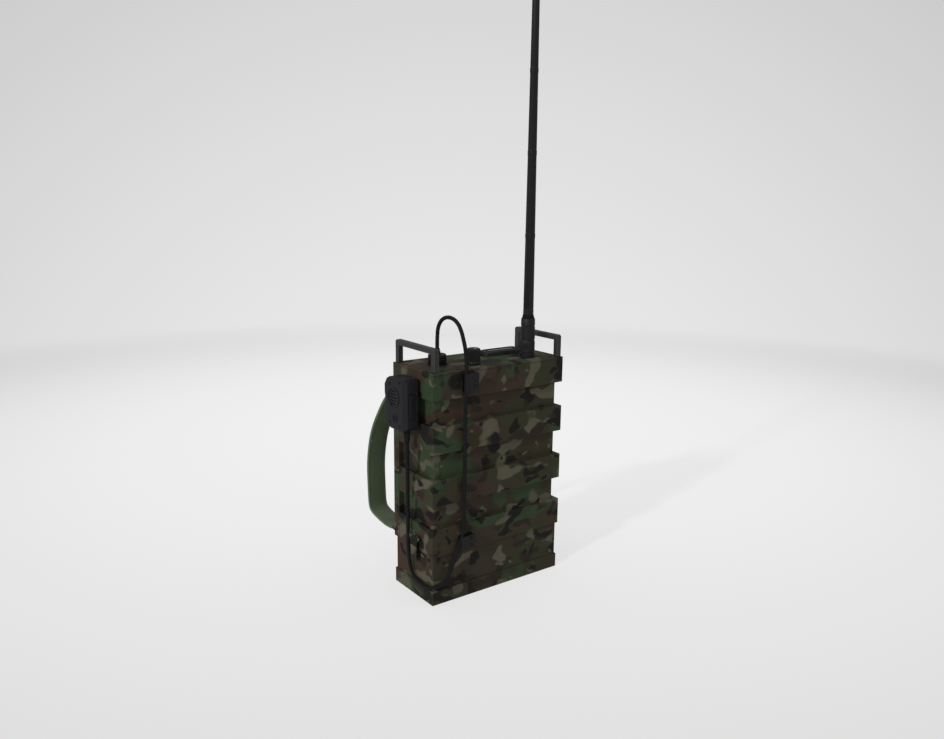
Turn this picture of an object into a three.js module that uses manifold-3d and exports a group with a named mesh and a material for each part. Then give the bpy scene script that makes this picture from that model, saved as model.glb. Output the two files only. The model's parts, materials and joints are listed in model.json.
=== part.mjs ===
// A toy pack radio: banded case, whip antenna, corded handset on a hanger, and two shoulder straps.
// Millimetres, +Z up. The origin is the centre of the base, the front faces -Y and the handset hangs at -X.

import * as THREE from "three";
import { mergeVertices } from "three/addons/utils/BufferGeometryUtils.js";
import Module from "manifold-3d";

// Driving dimensions ------------------------------------------------------------------------------

const GAP = 0.3; // clearance between pieces that touch
const CASE = { x: 104, y: 46, height: 300 }; // half width, half depth and full height of the case
const WALL = 3; // case wall thickness
const CORNER = 0.4; // chamfer on the case's upright corners
const BAND = 7; // how far the bands stand out from the case's front and sides
const BASE_HEIGHT = 19; // base cover
const BASE_INSET = 0.8; // base cover sides behind the band faces
const BATTERY_TOP = 65; // split between the battery box and the radio case
const BATTERY_INSET = 2.5; // battery box sides behind the band faces
const BAND_LEVELS = [[65.3, 100.5], [131.5, 165], [198.5, 233], [266, 297]]; // bottom and top of each band
const BACK_SPLIT = 33; // where the front shell meets the back shell
const PANEL_BOTTOM = 297.3; // underside of the top panel
const TOP = CASE.height;

const GUARD = { x: 97.5, y: 41, bar: 7, height: 29.5, chamfer: 2 }; // post centres, bar thickness and height
const SOCKET = { x: -67, y: 0, flangeRadius: 12.5, barrelRadius: 7.7, boreRadius: 6 };
const PLUG = { radius: 11.8, bottom: 3.3, top: 14 }; // grip of the plug, heights above the top panel
const KNOB = { x: -27.3, y: -23, radius: 8.8, bottom: 1.3, top: 21, shaftRadius: 3 };
const DISPLAY = { x0: 18, x1: 76, y0: 7.5, y1: 26.5, height: 6, side: 6, front: 4, back: 3, depth: 1.5 };
const ANTENNA = { x: 61, y: -23, baseRadius: 9.6, baseTop: 52, pivot: 45, footRadius: 6.8, tipRadius: 4.5 };
const ANTENNA_TOP = 765; // top of the whip's tip cap
const CUP = { radius: 6.6, ballRadius: 6.3, throat: 5.4, mouth: 6.8, neck: 4.6 }; // the antenna's ball joint

const CORD_RADIUS = 2.5;
const HANDSET = { x0: -128.8, split: -118.9, x1: -108.8, wall: 2.2, chamfer: 5 }; // outer face to inner face
const PTT = { x0: -121.5, x1: -113, z0: 240, z1: 272, front: -23, back: -16.6, lip: 1.4 };
const HANGER = { x0: -108.3, y: 14, z0: 266, z1: 289, slot: 3.5, slotBottom: 277 };
const STUD = { neckRadius: 3, headRadius: 6, headStart: 1.9, headEnd: 0.6 }; // head's distances off the case

const LATCH = {
  y0: -16, y1: -3, top: 83, bottom: 52, thickness: 1.5,
  pivotX: 107.4, pivotZ: 82, pinRadius: 1.2, knuckle: 1.9,
};
const LATCH_MOUNT = { reach: 4, cheek: 3, plate: 0.8 }; // above and below the pivot, fork sides, back plate
const CELL = { radius: 17, length: 60, x: 33, y: 18.5, z: 41, nose: 1.5, noseRadius: 4.5 }; // D size
const CONTACT = { gap: 2, thickness: 0.8, reach: 12, bump: 1.7, bumpRadius: 4 }; // plates at the cells' ends
const RADIO_BOARD = { x0: -85, x1: 85, y0: 24, y1: 25.6, z0: 80, z1: 280 };

const STRAP = { x: 100.5, width: 28, thickness: 5 }; // outer edge, width and thickness of a shoulder strap

// Colours and finishes ----------------------------------------------------------------------------

function finish(color, roughness, metalness = 0) {
  return new THREE.MeshStandardMaterial({ color, roughness, metalness });
}

const FINISH = {
  camo: finish(0x4a4a34, 0.8),
  base: finish(0x3f3a2a, 0.8),
  webbing: finish(0x67785b, 0.95),
  darkPlastic: finish(0x222226, 0.6),
  blackPlastic: finish(0x18181a, 0.5),
  rubber: finish(0x141416, 0.85),
  paintedMetal: finish(0x46474a, 0.5, 0.6),
  steel: finish(0x9a9c9e, 0.4, 1),
  brass: finish(0xa88a4a, 0.4, 1),
  window: finish(0x0c1410, 0.1),
  board: finish(0x1f4a2c, 0.6),
  cell: finish(0x6b5f3a, 0.5, 0.3),
};

const radio = new THREE.Group();

function piece(name, geometry, material) {
  const mesh = new THREE.Mesh(geometry, material);
  mesh.name = name;
  radio.add(mesh);
}

// Shape helpers -----------------------------------------------------------------------------------

const wasm = await Module();
wasm.setup();

function toSolid(geometry) {
  const bare = geometry.clone();
  bare.deleteAttribute("normal");
  bare.deleteAttribute("uv");
  const merged = mergeVertices(bare, 1e-4);
  const vertProperties = new Float32Array(merged.attributes.position.array);
  const triVerts = new Uint32Array(merged.index.array);
  return new wasm.Manifold(new wasm.Mesh({ numProp: 3, vertProperties, triVerts }));
}

function toGeometry(solid) {
  const mesh = solid.getMesh();
  const geometry = new THREE.BufferGeometry();
  geometry.setAttribute("position", new THREE.BufferAttribute(new Float32Array(mesh.vertProperties), 3));
  geometry.setIndex(new THREE.BufferAttribute(new Uint32Array(mesh.triVerts), 1));
  return geometry;
}

function join(first, ...others) {
  return toGeometry(others.reduce((sum, other) => sum.add(toSolid(other)), toSolid(first)));
}

function cut(first, ...others) {
  return toGeometry(others.reduce((rest, other) => rest.subtract(toSolid(other)), toSolid(first)));
}

function box(x0, x1, y0, y1, z0, z1) {
  const geometry = new THREE.BoxGeometry(x1 - x0, y1 - y0, z1 - z0);
  return geometry.translate((x0 + x1) / 2, (y0 + y1) / 2, (z0 + z1) / 2);
}

function boxOf({ x0, x1, y0, y1, z0, z1 }) {
  return box(x0, x1, y0, y1, z0, z1);
}

// A cone or cylinder standing on z0, centred on x, y.
function post(x, y, z0, z1, bottomRadius, topRadius = bottomRadius, sides = 24) {
  const geometry = new THREE.CylinderGeometry(topRadius, bottomRadius, z1 - z0, sides);
  return geometry.rotateX(Math.PI / 2).translate(x, y, (z0 + z1) / 2);
}

// A cylinder lying along X.
function rodX(x0, x1, y, z, radius, sides = 24) {
  const geometry = new THREE.CylinderGeometry(radius, radius, x1 - x0, sides);
  return geometry.rotateZ(Math.PI / 2).translate((x0 + x1) / 2, y, z);
}

// A cylinder lying along Y.
function rodY(y0, y1, x, z, radius, sides = 24) {
  const geometry = new THREE.CylinderGeometry(radius, radius, y1 - y0, sides);
  return geometry.translate(x, (y0 + y1) / 2, z);
}

function outline(points) {
  return new THREE.Shape(points.map(([u, v]) => new THREE.Vector2(u, v)));
}

// An outline in X and Y, raised from z0 to z1.
function raise(points, z0, z1) {
  const geometry = new THREE.ExtrudeGeometry(outline(points), { depth: z1 - z0, bevelEnabled: false });
  return geometry.translate(0, 0, z0);
}

// An outline in Y and Z, carried along X from x0 to x1.
function carryX(points, x0, x1) {
  const geometry = new THREE.ExtrudeGeometry(outline(points), { depth: x1 - x0, bevelEnabled: false });
  const turn = new THREE.Matrix4().makeBasis(
    new THREE.Vector3(0, 1, 0), new THREE.Vector3(0, 0, 1), new THREE.Vector3(1, 0, 0));
  return geometry.applyMatrix4(turn).translate(x0, 0, 0);
}

// A rectangle with chamfered corners at the front, and at the back when backChamfer is set.
function slabOutline(x, y0, y1, frontChamfer, backChamfer) {
  const front = [[-x + frontChamfer, y0], [x - frontChamfer, y0], [x, y0 + frontChamfer]];
  const back = [[x, y1 - backChamfer], [x - backChamfer, y1], [-x + backChamfer, y1], [-x, y1 - backChamfer]];
  const points = [...front, ...back, [-x, y0 + frontChamfer]];
  return points.filter(([u, v], i) => {
    const [pu, pv] = points[(i + points.length - 1) % points.length];
    return Math.hypot(u - pu, v - pv) > 1e-6;
  });
}

// A piece mirrored to the other side of the case, with its faces kept outward.
function mirrorX(geometry) {
  const flipped = geometry.index ? geometry.toNonIndexed() : geometry.clone();
  flipped.scale(-1, 1, 1);
  const position = flipped.attributes.position;
  for (let i = 0; i < position.count; i += 3) {
    const second = new THREE.Vector3().fromBufferAttribute(position, i + 1);
    const third = new THREE.Vector3().fromBufferAttribute(position, i + 2);
    position.setXYZ(i + 1, third.x, third.y, third.z);
    position.setXYZ(i + 2, second.x, second.y, second.z);
  }
  flipped.deleteAttribute("normal");
  flipped.deleteAttribute("uv");
  return mergeVertices(flipped, 1e-4);
}

// Both sides of the case get the same piece, named left_ at -X and right_ at +X.
function pair(name, leftGeometry, material) {
  piece(`left_${name}`, leftGeometry, material);
  piece(`right_${name}`, mirrorX(leftGeometry), material);
}

// Case --------------------------------------------------------------------------------------------

function frontShell() {
  const y1 = BACK_SPLIT;
  const bottom = BAND_LEVELS[0][0];
  const top = BAND_LEVELS.at(-1)[1];
  const coreX = CASE.x - BAND;
  const coreY = -CASE.y + BAND;
  const core = raise(slabOutline(coreX, coreY, y1, CORNER, 0), bottom, top);
  const bands = BAND_LEVELS.map(([z0, z1]) => raise(slabOutline(CASE.x, -CASE.y, y1, CORNER, 0), z0, z1));
  const room = box(-coreX + WALL, coreX - WALL, coreY + WALL, y1 + 1, bottom + WALL, top + 1);
  const bandRooms = BAND_LEVELS.map(([z0, z1], i) => box(
    -CASE.x + WALL, CASE.x - WALL, -CASE.y + WALL, y1 + 1,
    z0 + WALL, i === BAND_LEVELS.length - 1 ? top + 1 : z1 - WALL));
  return cut(join(core, ...bands), room, ...bandRooms);
}

const BACK_SCREWS = [[-88, 84], [88, 84], [-88, 284], [88, 284]]; // x and z of each screw in the back
const SCREW = {
  headRadius: 4, shankRadius: 1.5, bossRadius: 6.6, sink: 2, length: 12,
  slotReach: 2.4, slotWidth: 1, slotDepth: 1.2,
};

function backShell() {
  const y0 = BACK_SPLIT + GAP;
  const bottom = BAND_LEVELS[0][0];
  const top = BAND_LEVELS.at(-1)[1];
  const plate = raise(slabOutline(CASE.x, y0, CASE.y, 0, CORNER), bottom, top);
  const roomX = CASE.x - BAND - WALL; // its rim closes the recesses between the bands
  const room = box(-roomX, roomX, y0 - 1, CASE.y - WALL, bottom + WALL, top - WALL);
  const bosses = BACK_SCREWS.map(([x, z]) => rodY(y0, CASE.y - 1, x, z, SCREW.bossRadius, 16));
  const sinks = BACK_SCREWS.map(([x, z]) => (
    rodY(CASE.y - SCREW.sink, CASE.y + 1, x, z, SCREW.headRadius + GAP)));
  const bores = BACK_SCREWS.map(([x, z]) => rodY(y0 - 1, CASE.y, x, z, SCREW.shankRadius + GAP, 12));
  return cut(join(cut(plate, room), ...bosses), ...sinks, ...bores);
}

function backScrew(x, z) {
  const head = rodY(CASE.y - SCREW.sink + GAP, CASE.y - GAP, x, z, SCREW.headRadius);
  const shank = rodY(CASE.y - SCREW.length, CASE.y - SCREW.sink + 1, x, z, SCREW.shankRadius, 12);
  const y0 = CASE.y - SCREW.slotDepth;
  const reach = SCREW.slotReach;
  const half = SCREW.slotWidth / 2;
  const slots = [
    box(x - reach, x + reach, y0, CASE.y, z - half, z + half),
    box(x - half, x + half, y0, CASE.y, z - reach, z + reach),
  ];
  return cut(join(head, shank), ...slots);
}

function topPanel() {
  const panel = raise(slabOutline(CASE.x, -CASE.y, CASE.y, CORNER, CORNER), PANEL_BOTTOM, TOP);
  const holes = [
    post(SOCKET.x, SOCKET.y, PANEL_BOTTOM - 1, TOP + 1, SOCKET.barrelRadius + GAP),
    post(KNOB.x, KNOB.y, PANEL_BOTTOM - 1, TOP + 1, 3.8, 3.8, 16),
    post(ANTENNA.x, ANTENNA.y, PANEL_BOTTOM - 1, TOP + 1, 4.3, 4.3, 16),
  ];
  return cut(panel, ...holes);
}

const KEEPER = { depth: 3.1, y0: -12, y1: -7, z0: 56.2, z1: 60 }; // hook on the battery box under each latch

function batteryBox() {
  const x = CASE.x - BATTERY_INSET;
  const y = CASE.y - BATTERY_INSET;
  const z0 = BASE_HEIGHT + GAP;
  const body = raise(slabOutline(x, -y, y, CORNER, CORNER), z0, BATTERY_TOP);
  const room = box(-x + WALL, x - WALL, -y + WALL, y - WALL, z0 + WALL, BATTERY_TOP + 1);
  const keepers = [-1, 1].map((side) => {
    const inner = side * (x - 1);
    const outer = side * (x + KEEPER.depth);
    return box(Math.min(inner, outer), Math.max(inner, outer), KEEPER.y0, KEEPER.y1, KEEPER.z0, KEEPER.z1);
  });
  return join(cut(body, room), ...keepers);
}

function baseCover() {
  const x = CASE.x - BASE_INSET;
  const y = CASE.y - BASE_INSET;
  const rim = 4.5; // wide enough to carry the battery box
  const body = raise(slabOutline(x, -y, y, CORNER, CORNER), 0, BASE_HEIGHT);
  return cut(body, box(-x + rim, x - rim, -y + rim, y - rim, WALL, BASE_HEIGHT + 1));
}

piece("front_shell", frontShell(), FINISH.camo);
piece("back_shell", backShell(), FINISH.camo);
piece("top_panel", topPanel(), FINISH.camo);
piece("battery_box", batteryBox(), FINISH.camo);
piece("base_cover", baseCover(), FINISH.base);
BACK_SCREWS.forEach(([x, z], i) => piece(`back_screw_${i + 1}`, backScrew(x, z), FINISH.steel));

// Inside the case ---------------------------------------------------------------------------------

function batteryCell(x, y) {
  const end = x - CELL.length / 2;
  const body = rodX(end + CELL.nose, x + CELL.length / 2, y, CELL.z, CELL.radius, 20);
  const nose = rodX(end, end + CELL.nose + 0.5, y, CELL.z, CELL.noseRadius, 12);
  return join(body, nose);
}

function contactPlate() {
  const { gap, thickness, reach, bump, bumpRadius } = CONTACT;
  const x = -CELL.x - CELL.length / 2 - gap;
  const plate = box(x - thickness, x, -CELL.y - reach, CELL.y + reach, CELL.z - reach, CELL.z + reach);
  const bumps = [-1, 1].map((side) => (
    rodX(x - thickness / 2, x + bump, side * CELL.y, CELL.z, bumpRadius, 12)));
  return join(plate, ...bumps);
}

piece("radio_board", boxOf(RADIO_BOARD), FINISH.board);
[[-1, -1], [1, -1], [-1, 1], [1, 1]].forEach(([sideX, sideY], i) => {
  piece(`battery_cell_${i + 1}`, batteryCell(sideX * CELL.x, sideY * CELL.y), FINISH.cell);
});
pair("battery_contact", contactPlate(), FINISH.steel);

// Battery latches ---------------------------------------------------------------------------------

// The mount is a block on the lowest band with a fork for the lever's knuckle.
function latchMount() {
  const { reach, cheek, plate } = LATCH_MOUNT;
  const z0 = LATCH.pivotZ - reach;
  const z1 = LATCH.pivotZ + reach;
  const outer = -LATCH.pivotX - LATCH.knuckle;
  const block = box(outer, -CASE.x - GAP, LATCH.y0 - cheek, LATCH.y1 + cheek, z0, z1);
  const fork = box(outer - 1, -CASE.x + 1, LATCH.y0 - GAP, LATCH.y1 + GAP, z0 - 1, z1 + 1);
  const bridge = box(-CASE.x - GAP - plate, -CASE.x - GAP, LATCH.y0 - 1, LATCH.y1 + 1, z0, z1);
  const bore = rodY(LATCH.y0 - 5, LATCH.y1 + 5, -LATCH.pivotX, LATCH.pivotZ, LATCH.pinRadius + 0.05, 16);
  return cut(join(cut(block, fork), bridge), bore);
}

function latchLever() {
  const x = -LATCH.pivotX;
  const inner = x - 0.7;
  const plate = box(inner - LATCH.thickness, inner, LATCH.y0, LATCH.y1, LATCH.bottom, LATCH.top);
  const knuckle = rodY(LATCH.y0, LATCH.y1, x, LATCH.pivotZ, LATCH.knuckle, 16);
  const hook = box(x - 1.4, -CASE.x + 1.2, LATCH.y0 + 3, LATCH.y1 - 3, LATCH.bottom + 0.8, KEEPER.z0 - GAP);
  const bore = rodY(LATCH.y0 - 1, LATCH.y1 + 1, x, LATCH.pivotZ, LATCH.pinRadius + 0.05, 16);
  return cut(join(plate, knuckle, hook), bore);
}

pair("latch_mount", latchMount(), FINISH.camo);
const PIN_END = LATCH_MOUNT.cheek - 0.1; // just inside the fork's outer faces
pair("latch_pin",
  rodY(LATCH.y0 - PIN_END, LATCH.y1 + PIN_END, -LATCH.pivotX, LATCH.pivotZ, LATCH.pinRadius, 16),
  FINISH.steel);
pair("latch_lever", latchLever(), FINISH.camo);

// Top: guards, socket and plug, knob, display, antenna ---------------------------------------------

function guard() {
  const { y, bar, height, chamfer } = GUARD;
  const outer = y + bar / 2;
  const inner = y - bar / 2;
  const z0 = TOP + GAP;
  const z1 = TOP + height;
  const points = [
    [-outer, z0], [-inner, z0], [-inner, z1 - bar], [inner, z1 - bar], [inner, z0], [outer, z0],
    [outer, z1 - chamfer], [outer - chamfer, z1], [-outer + chamfer, z1], [-outer, z1 - chamfer],
  ];
  return carryX(points, -GUARD.x - bar / 2, -GUARD.x + bar / 2);
}

function audioSocket() {
  const { x, y } = SOCKET;
  const flange = post(x, y, TOP + GAP, TOP + 3, SOCKET.flangeRadius);
  const barrel = post(x, y, TOP - 12, TOP + 1, SOCKET.barrelRadius);
  return cut(join(flange, barrel), post(x, y, TOP - 9, TOP + 4, SOCKET.boreRadius));
}

function audioPlug() {
  const { x, y } = SOCKET;
  const barrel = post(x, y, TOP - 8.5, TOP + 5, SOCKET.boreRadius - GAP);
  const grip = post(x, y, TOP + PLUG.bottom, TOP + PLUG.top - 3, PLUG.radius);
  const shoulder = post(x, y, TOP + PLUG.top - 3, TOP + PLUG.top, PLUG.radius, PLUG.radius - 1);
  const grooves = [5, 7.6].map((z) => {
    const ring = post(x, y, TOP + z, TOP + z + 1.2, PLUG.radius + 1);
    return cut(ring, post(x, y, TOP + z - 1, TOP + z + 3, PLUG.radius - 0.8));
  });
  return cut(join(barrel, grip, shoulder), ...grooves);
}

function volumePot() {
  const { x, y } = KNOB;
  return join(
    post(x, y, TOP - 15, TOP - 6, 8.5, 8.5, 20),
    post(x, y, TOP - 7, TOP + 3, 3.5, 3.5, 16),
    post(x, y, TOP + 2, TOP + 15, KNOB.shaftRadius, KNOB.shaftRadius, 16));
}

function volumeKnob() {
  const { x, y, radius } = KNOB;
  const flutes = 16;
  const rim = Array.from({ length: flutes * 2 }, (_, i) => {
    const r = i % 2 ? radius - 0.7 : radius;
    const angle = (i * Math.PI) / flutes;
    return [x + r * Math.cos(angle), y + r * Math.sin(angle)];
  });
  const skirt = raise(rim, TOP + KNOB.bottom, TOP + KNOB.top - 2);
  const crown = post(x, y, TOP + KNOB.top - 2, TOP + KNOB.top, radius - 0.8, radius - 2.4, 16);
  const pointer = box(x - 0.6, x + 0.6, y - radius + 1, y - 1, TOP + KNOB.top - 0.5, TOP + KNOB.top + 0.6);
  const bore = post(x, y, TOP, TOP + 15.4, KNOB.shaftRadius + 0.05, KNOB.shaftRadius + 0.05, 16);
  const recess = post(x, y, TOP, TOP + 4, 5, 5, 16);
  return cut(join(skirt, crown, pointer), bore, recess);
}

// A low block with a recess for the window, whose margins are side, front and back.
function displayHousing() {
  const { x0, x1, y0, y1, height, side, front, back, depth } = DISPLAY;
  const z0 = TOP + GAP;
  const z1 = TOP + height;
  const profile = [[y0, z0], [y1, z0], [y1, z1], [y0 + 1.5, z1], [y0, z1 - 1.5]];
  const recess = box(x0 + side, x1 - side, y0 + front, y1 - back, z1 - depth, z1 + 1);
  return cut(carryX(profile, x0, x1), recess);
}

function displayWindow() {
  const { x0, x1, y0, y1, height, side, front, back, depth } = DISPLAY;
  const z1 = TOP + height;
  return box(x0 + side + GAP, x1 - side - GAP, y0 + front + GAP, y1 - back - GAP, z1 - depth + GAP, z1 - 0.2);
}

// The base is a fixed sleeve. The whip's ball foot sits in its cup, so the whip can flex at the pivot.
function antennaBase() {
  const { x, y, baseRadius, baseTop, pivot } = ANTENNA;
  const sleeve = [
    post(x, y, TOP + GAP, TOP + baseTop, baseRadius),
    post(x, y, TOP - 9, TOP + 3, 4, 4, 16),
  ];
  const room = new THREE.SphereGeometry(CUP.radius, 24, 12).rotateX(Math.PI / 2).translate(x, y, TOP + pivot);
  const mouth = post(x, y, TOP + pivot + 2, TOP + baseTop + 1, CUP.throat, CUP.mouth);
  return cut(join(...sleeve), room, mouth);
}

function whipRadiusAt(z) {
  const foot = TOP + ANTENNA.baseTop;
  const share = (z - foot) / (ANTENNA_TOP - foot);
  return ANTENNA.footRadius + (ANTENNA.tipRadius - ANTENNA.footRadius) * share;
}

const WHIP_END = ANTENNA_TOP - 14;

function antennaWhip() {
  const { x, y, pivot, baseTop, footRadius } = ANTENNA;
  const ball = new THREE.SphereGeometry(CUP.ballRadius, 24, 12);
  ball.rotateX(Math.PI / 2).translate(x, y, TOP + pivot);
  const rodStart = TOP + baseTop + 3; // clear of the sleeve when the whip flexes
  const neck = post(x, y, TOP + pivot, rodStart, CUP.neck);
  const foot = post(x, y, rodStart - 1, rodStart, footRadius - 0.9, footRadius);
  const rod = post(x, y, rodStart, WHIP_END, footRadius, whipRadiusAt(WHIP_END));
  return join(ball, neck, foot, rod);
}

function antennaTip() {
  const { x, y } = ANTENNA;
  const radius = whipRadiusAt(WHIP_END) + 0.6;
  const z0 = WHIP_END + GAP;
  const arc = Array.from({ length: 6 }, (_, i) => {
    const angle = (i * Math.PI) / 10;
    return [radius * Math.cos(angle), ANTENNA_TOP - radius + radius * Math.sin(angle)];
  });
  arc[5][0] = 0;
  const profile = [[0, z0], [radius, z0], ...arc].map(([r, z]) => new THREE.Vector2(r, z));
  return new THREE.LatheGeometry(profile, 24).rotateX(Math.PI / 2).translate(x, y, 0);
}

pair("guard", guard(), FINISH.paintedMetal);
piece("audio_socket", audioSocket(), FINISH.blackPlastic);
piece("audio_plug", audioPlug(), FINISH.blackPlastic);
piece("volume_pot", volumePot(), FINISH.steel);
piece("volume_knob", volumeKnob(), FINISH.blackPlastic);
piece("display_housing", displayHousing(), FINISH.darkPlastic);
piece("display_window", displayWindow(), FINISH.window);
piece("antenna_base", antennaBase(), FINISH.darkPlastic);
piece("antenna_whip", antennaWhip(), FINISH.darkPlastic);
piece("antenna_tip", antennaTip(), FINISH.rubber);

// Handset -----------------------------------------------------------------------------------------

// The handset's outline in Y and Z, seen from the side of the case.
const HANDSET_OUTLINE = [
  [-20.5, 229], [-17, 225.5], [11, 225.5], [19.5, 231], [21, 254], [25, 268],
  [25, 279], [19.5, 287], [12.5, 290.5], [-17, 290.5], [-20.5, 287],
];

function handsetInside(inset) {
  const ys = HANDSET_OUTLINE.map(([y]) => y);
  const zs = HANDSET_OUTLINE.map(([, z]) => z);
  const shrink = (value, all) => {
    const middle = (Math.min(...all) + Math.max(...all)) / 2;
    const half = (Math.max(...all) - Math.min(...all)) / 2;
    return middle + ((value - middle) * (half - inset)) / half;
  };
  return HANDSET_OUTLINE.map(([y, z]) => [shrink(y, ys), shrink(z, zs)]);
}

const INSIDE = handsetInside(HANDSET.wall);
const EARPIECE = { y: 4.5, z: 265, radius: 12, depth: 5.8 };
const MICROPHONE = { y: 1, z: 239.5, radius: 4.8, depth: 4.3 };
const CAPSULE_FACE = HANDSET.x0 + HANDSET.wall + GAP; // both sit just behind the outer shell's face
const HANDSET_BOARD = { x0: -113.4, x1: -112.2, y0: -13, y1: 16, z0: 232, z1: 282 };
const PTT_SWITCH = { x0: -122, x1: -113.7, y0: -14.2, y1: -8, z0: 252, z1: 260 };

// What the chamfer takes off the handset's outer front edge, depth deep from the corner along both faces.
function handsetChamfer(depth) {
  const front = HANDSET_OUTLINE[0][0];
  const x = HANDSET.x0;
  return raise([[x - 1, front - 1], [x + depth + 1, front - 1], [x - 1, front + depth + 1]], 220, 300);
}

function capsule({ y, z, radius, depth }, sides) {
  return rodX(CAPSULE_FACE, CAPSULE_FACE + depth, y, z, radius, sides);
}

function pttOpening() {
  return box(PTT.x0 - GAP, PTT.x1 + GAP, PTT.front - 1, PTT.back - 1, PTT.z0 - GAP, PTT.z1 + GAP);
}

function handsetOuterShell() {
  const { x0, split, wall } = HANDSET;
  const edge = split - GAP / 2;
  const skin = cut(carryX(HANDSET_OUTLINE, x0, edge), handsetChamfer(HANDSET.chamfer));
  const innerChamfer = HANDSET.chamfer + wall * Math.SQRT2;
  const room = cut(carryX(INSIDE, x0 + wall, edge + 1), handsetChamfer(innerChamfer));
  const speakerSlots = [-8, -4, 0, 4, 8].map((offset) => {
    const half = 9 - Math.abs(offset) * 0.4;
    const z = EARPIECE.z + offset;
    return box(x0 - 1, x0 + wall + 1, EARPIECE.y - half, EARPIECE.y + half, z - 0.8, z + 0.8);
  });
  const microphoneSlots = [-1.5, 1.5].map((offset) => {
    const z = MICROPHONE.z + offset;
    return box(x0 - 1, x0 + wall + 1, MICROPHONE.y - 3, MICROPHONE.y + 3, z - 0.6, z + 0.6);
  });
  return cut(skin, room, pttOpening(), ...speakerSlots, ...microphoneSlots);
}

function handsetInnerShell() {
  const { split, x1, wall } = HANDSET;
  const edge = split + GAP / 2;
  const skin = carryX(HANDSET_OUTLINE, edge, x1);
  return cut(skin, carryX(INSIDE, edge - 1, x1 - wall), pttOpening());
}

function pttButton() {
  const { x0, x1, z0, z1, front, back, lip } = PTT;
  const key = box(x0, x1, front, back, z0, z1);
  const flange = box(x0 - lip, x1 + lip, back - 1.4, back, z0 - lip, z1 + lip);
  return join(key, flange);
}

function handsetStud() {
  const z = HANGER.slotBottom + STUD.neckRadius + GAP;
  const neck = rodX(HANDSET.x1 + GAP, -CASE.x - STUD.headStart + 0.4, 0, z, STUD.neckRadius);
  const head = rodX(-CASE.x - STUD.headStart, -CASE.x - STUD.headEnd, 0, z, STUD.headRadius);
  return join(neck, head);
}

// A hanger with an open-topped slot: the stud's neck drops into the slot and its head into the pocket.
function handsetHanger() {
  const { x0, y, z0, z1, slot, slotBottom } = HANGER;
  const block = box(x0, -CASE.x - GAP, -y, y, z0, z1);
  const pocket = box(x0 + 2.1, -CASE.x + 1, -y + 2, y - 2, z0 + 3, z1 + 1);
  return cut(block, pocket, box(x0 - 1, x0 + 3, -slot, slot, slotBottom, z1 + 1));
}

const LEAD_END = { x: -118.8, y: -10.8, z: 209 }; // where the lead meets the handset's strain relief

function handsetStrainRelief() {
  return post(LEAD_END.x, LEAD_END.y, LEAD_END.z + GAP, HANDSET_OUTLINE[1][1] - GAP, 3.4, 4.8, 16);
}

piece("handset_outer_shell", handsetOuterShell(), FINISH.darkPlastic);
piece("handset_inner_shell", handsetInnerShell(), FINISH.darkPlastic);
piece("ptt_button", pttButton(), FINISH.rubber);
piece("ptt_switch", boxOf(PTT_SWITCH), FINISH.blackPlastic);
piece("handset_board", boxOf(HANDSET_BOARD), FINISH.board);
piece("handset_speaker", capsule(EARPIECE, 24), FINISH.steel);
piece("handset_microphone", capsule(MICROPHONE, 16), FINISH.brass);
piece("handset_stud", handsetStud(), FINISH.steel);
piece("handset_hanger", handsetHanger(), FINISH.paintedMetal);
piece("handset_strain_relief", handsetStrainRelief(), FINISH.rubber);

// Handset lead ------------------------------------------------------------------------------------

// Out of the plug, over the top in an arch, down the front through its two clips, then slack round the
// near corner and up to the handset.
const LEAD_ROUTE = [
  [-67, 0, 321.5], [-67, 0, 326], [-67, -0.1, 332], [-66.9, -0.3, 338.5], [-66.7, -1, 345],
  [-66.3, -3, 351], [-65.7, -6.6, 356.2], [-64.8, -11.6, 360], [-63.7, -17.8, 361.9],
  [-62.3, -24.6, 361.6], [-60.9, -31.4, 358.8], [-59.8, -37, 353.6], [-59, -41, 346.6],
  [-58.4, -44.2, 338], [-57.9, -47.3, 328], [-57.8, -49.7, 316], [-57.9, -50.6, 302], [-58.2, -50.6, 286],
  [-58.7, -50.6, 260], [-59, -50.6, 215], [-59.2, -50.6, 165], [-59.6, -50.6, 120], [-60.2, -50.6, 97],
  [-62.3, -50.6, 85.5], [-66.6, -50.6, 74.5], [-70.5, -50.5, 66], [-74.3, -50.4, 57], [-78, -50.2, 48],
  [-82.4, -50.1, 39.5], [-88.5, -50, 32], [-96.5, -49.6, 27.8], [-104, -46.2, 25.8],
  [-107.8, -40.5, 24.9], [-108.6, -33, 24.6], [-108.2, -25, 24.6], [-107.8, -17, 25], [-107.6, -10, 27],
  [-107.6, -4, 31.2], [-107.7, 0, 38], [-108, 2.4, 48], [-108.6, 3.4, 62], [-109.6, 2.6, 84],
  [-111.3, 0.2, 115], [-113.8, -3.8, 150], [-116.6, -7.8, 181], [-118.4, -10.2, 199],
  [-118.8, -10.8, 209],
];
const LEAD_SIDES = 8;
const LEAD_STEPS = 78;

function handsetLead() {
  const curve = new THREE.CatmullRomCurve3(LEAD_ROUTE.map(([x, y, z]) => new THREE.Vector3(x, y, z)),
    false, "centripetal");
  const section = Array.from({ length: LEAD_SIDES }, (_, i) => {
    const angle = (i * 2 * Math.PI) / LEAD_SIDES;
    return [CORD_RADIUS * Math.cos(angle), CORD_RADIUS * Math.sin(angle)];
  });
  return new THREE.ExtrudeGeometry(outline(section), { steps: LEAD_STEPS, extrudePath: curve });
}

function plugStrainRelief() {
  return post(SOCKET.x, SOCKET.y, TOP + PLUG.top + GAP, LEAD_ROUTE[0][2] - GAP, 4.6, 3.3, 16);
}

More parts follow.
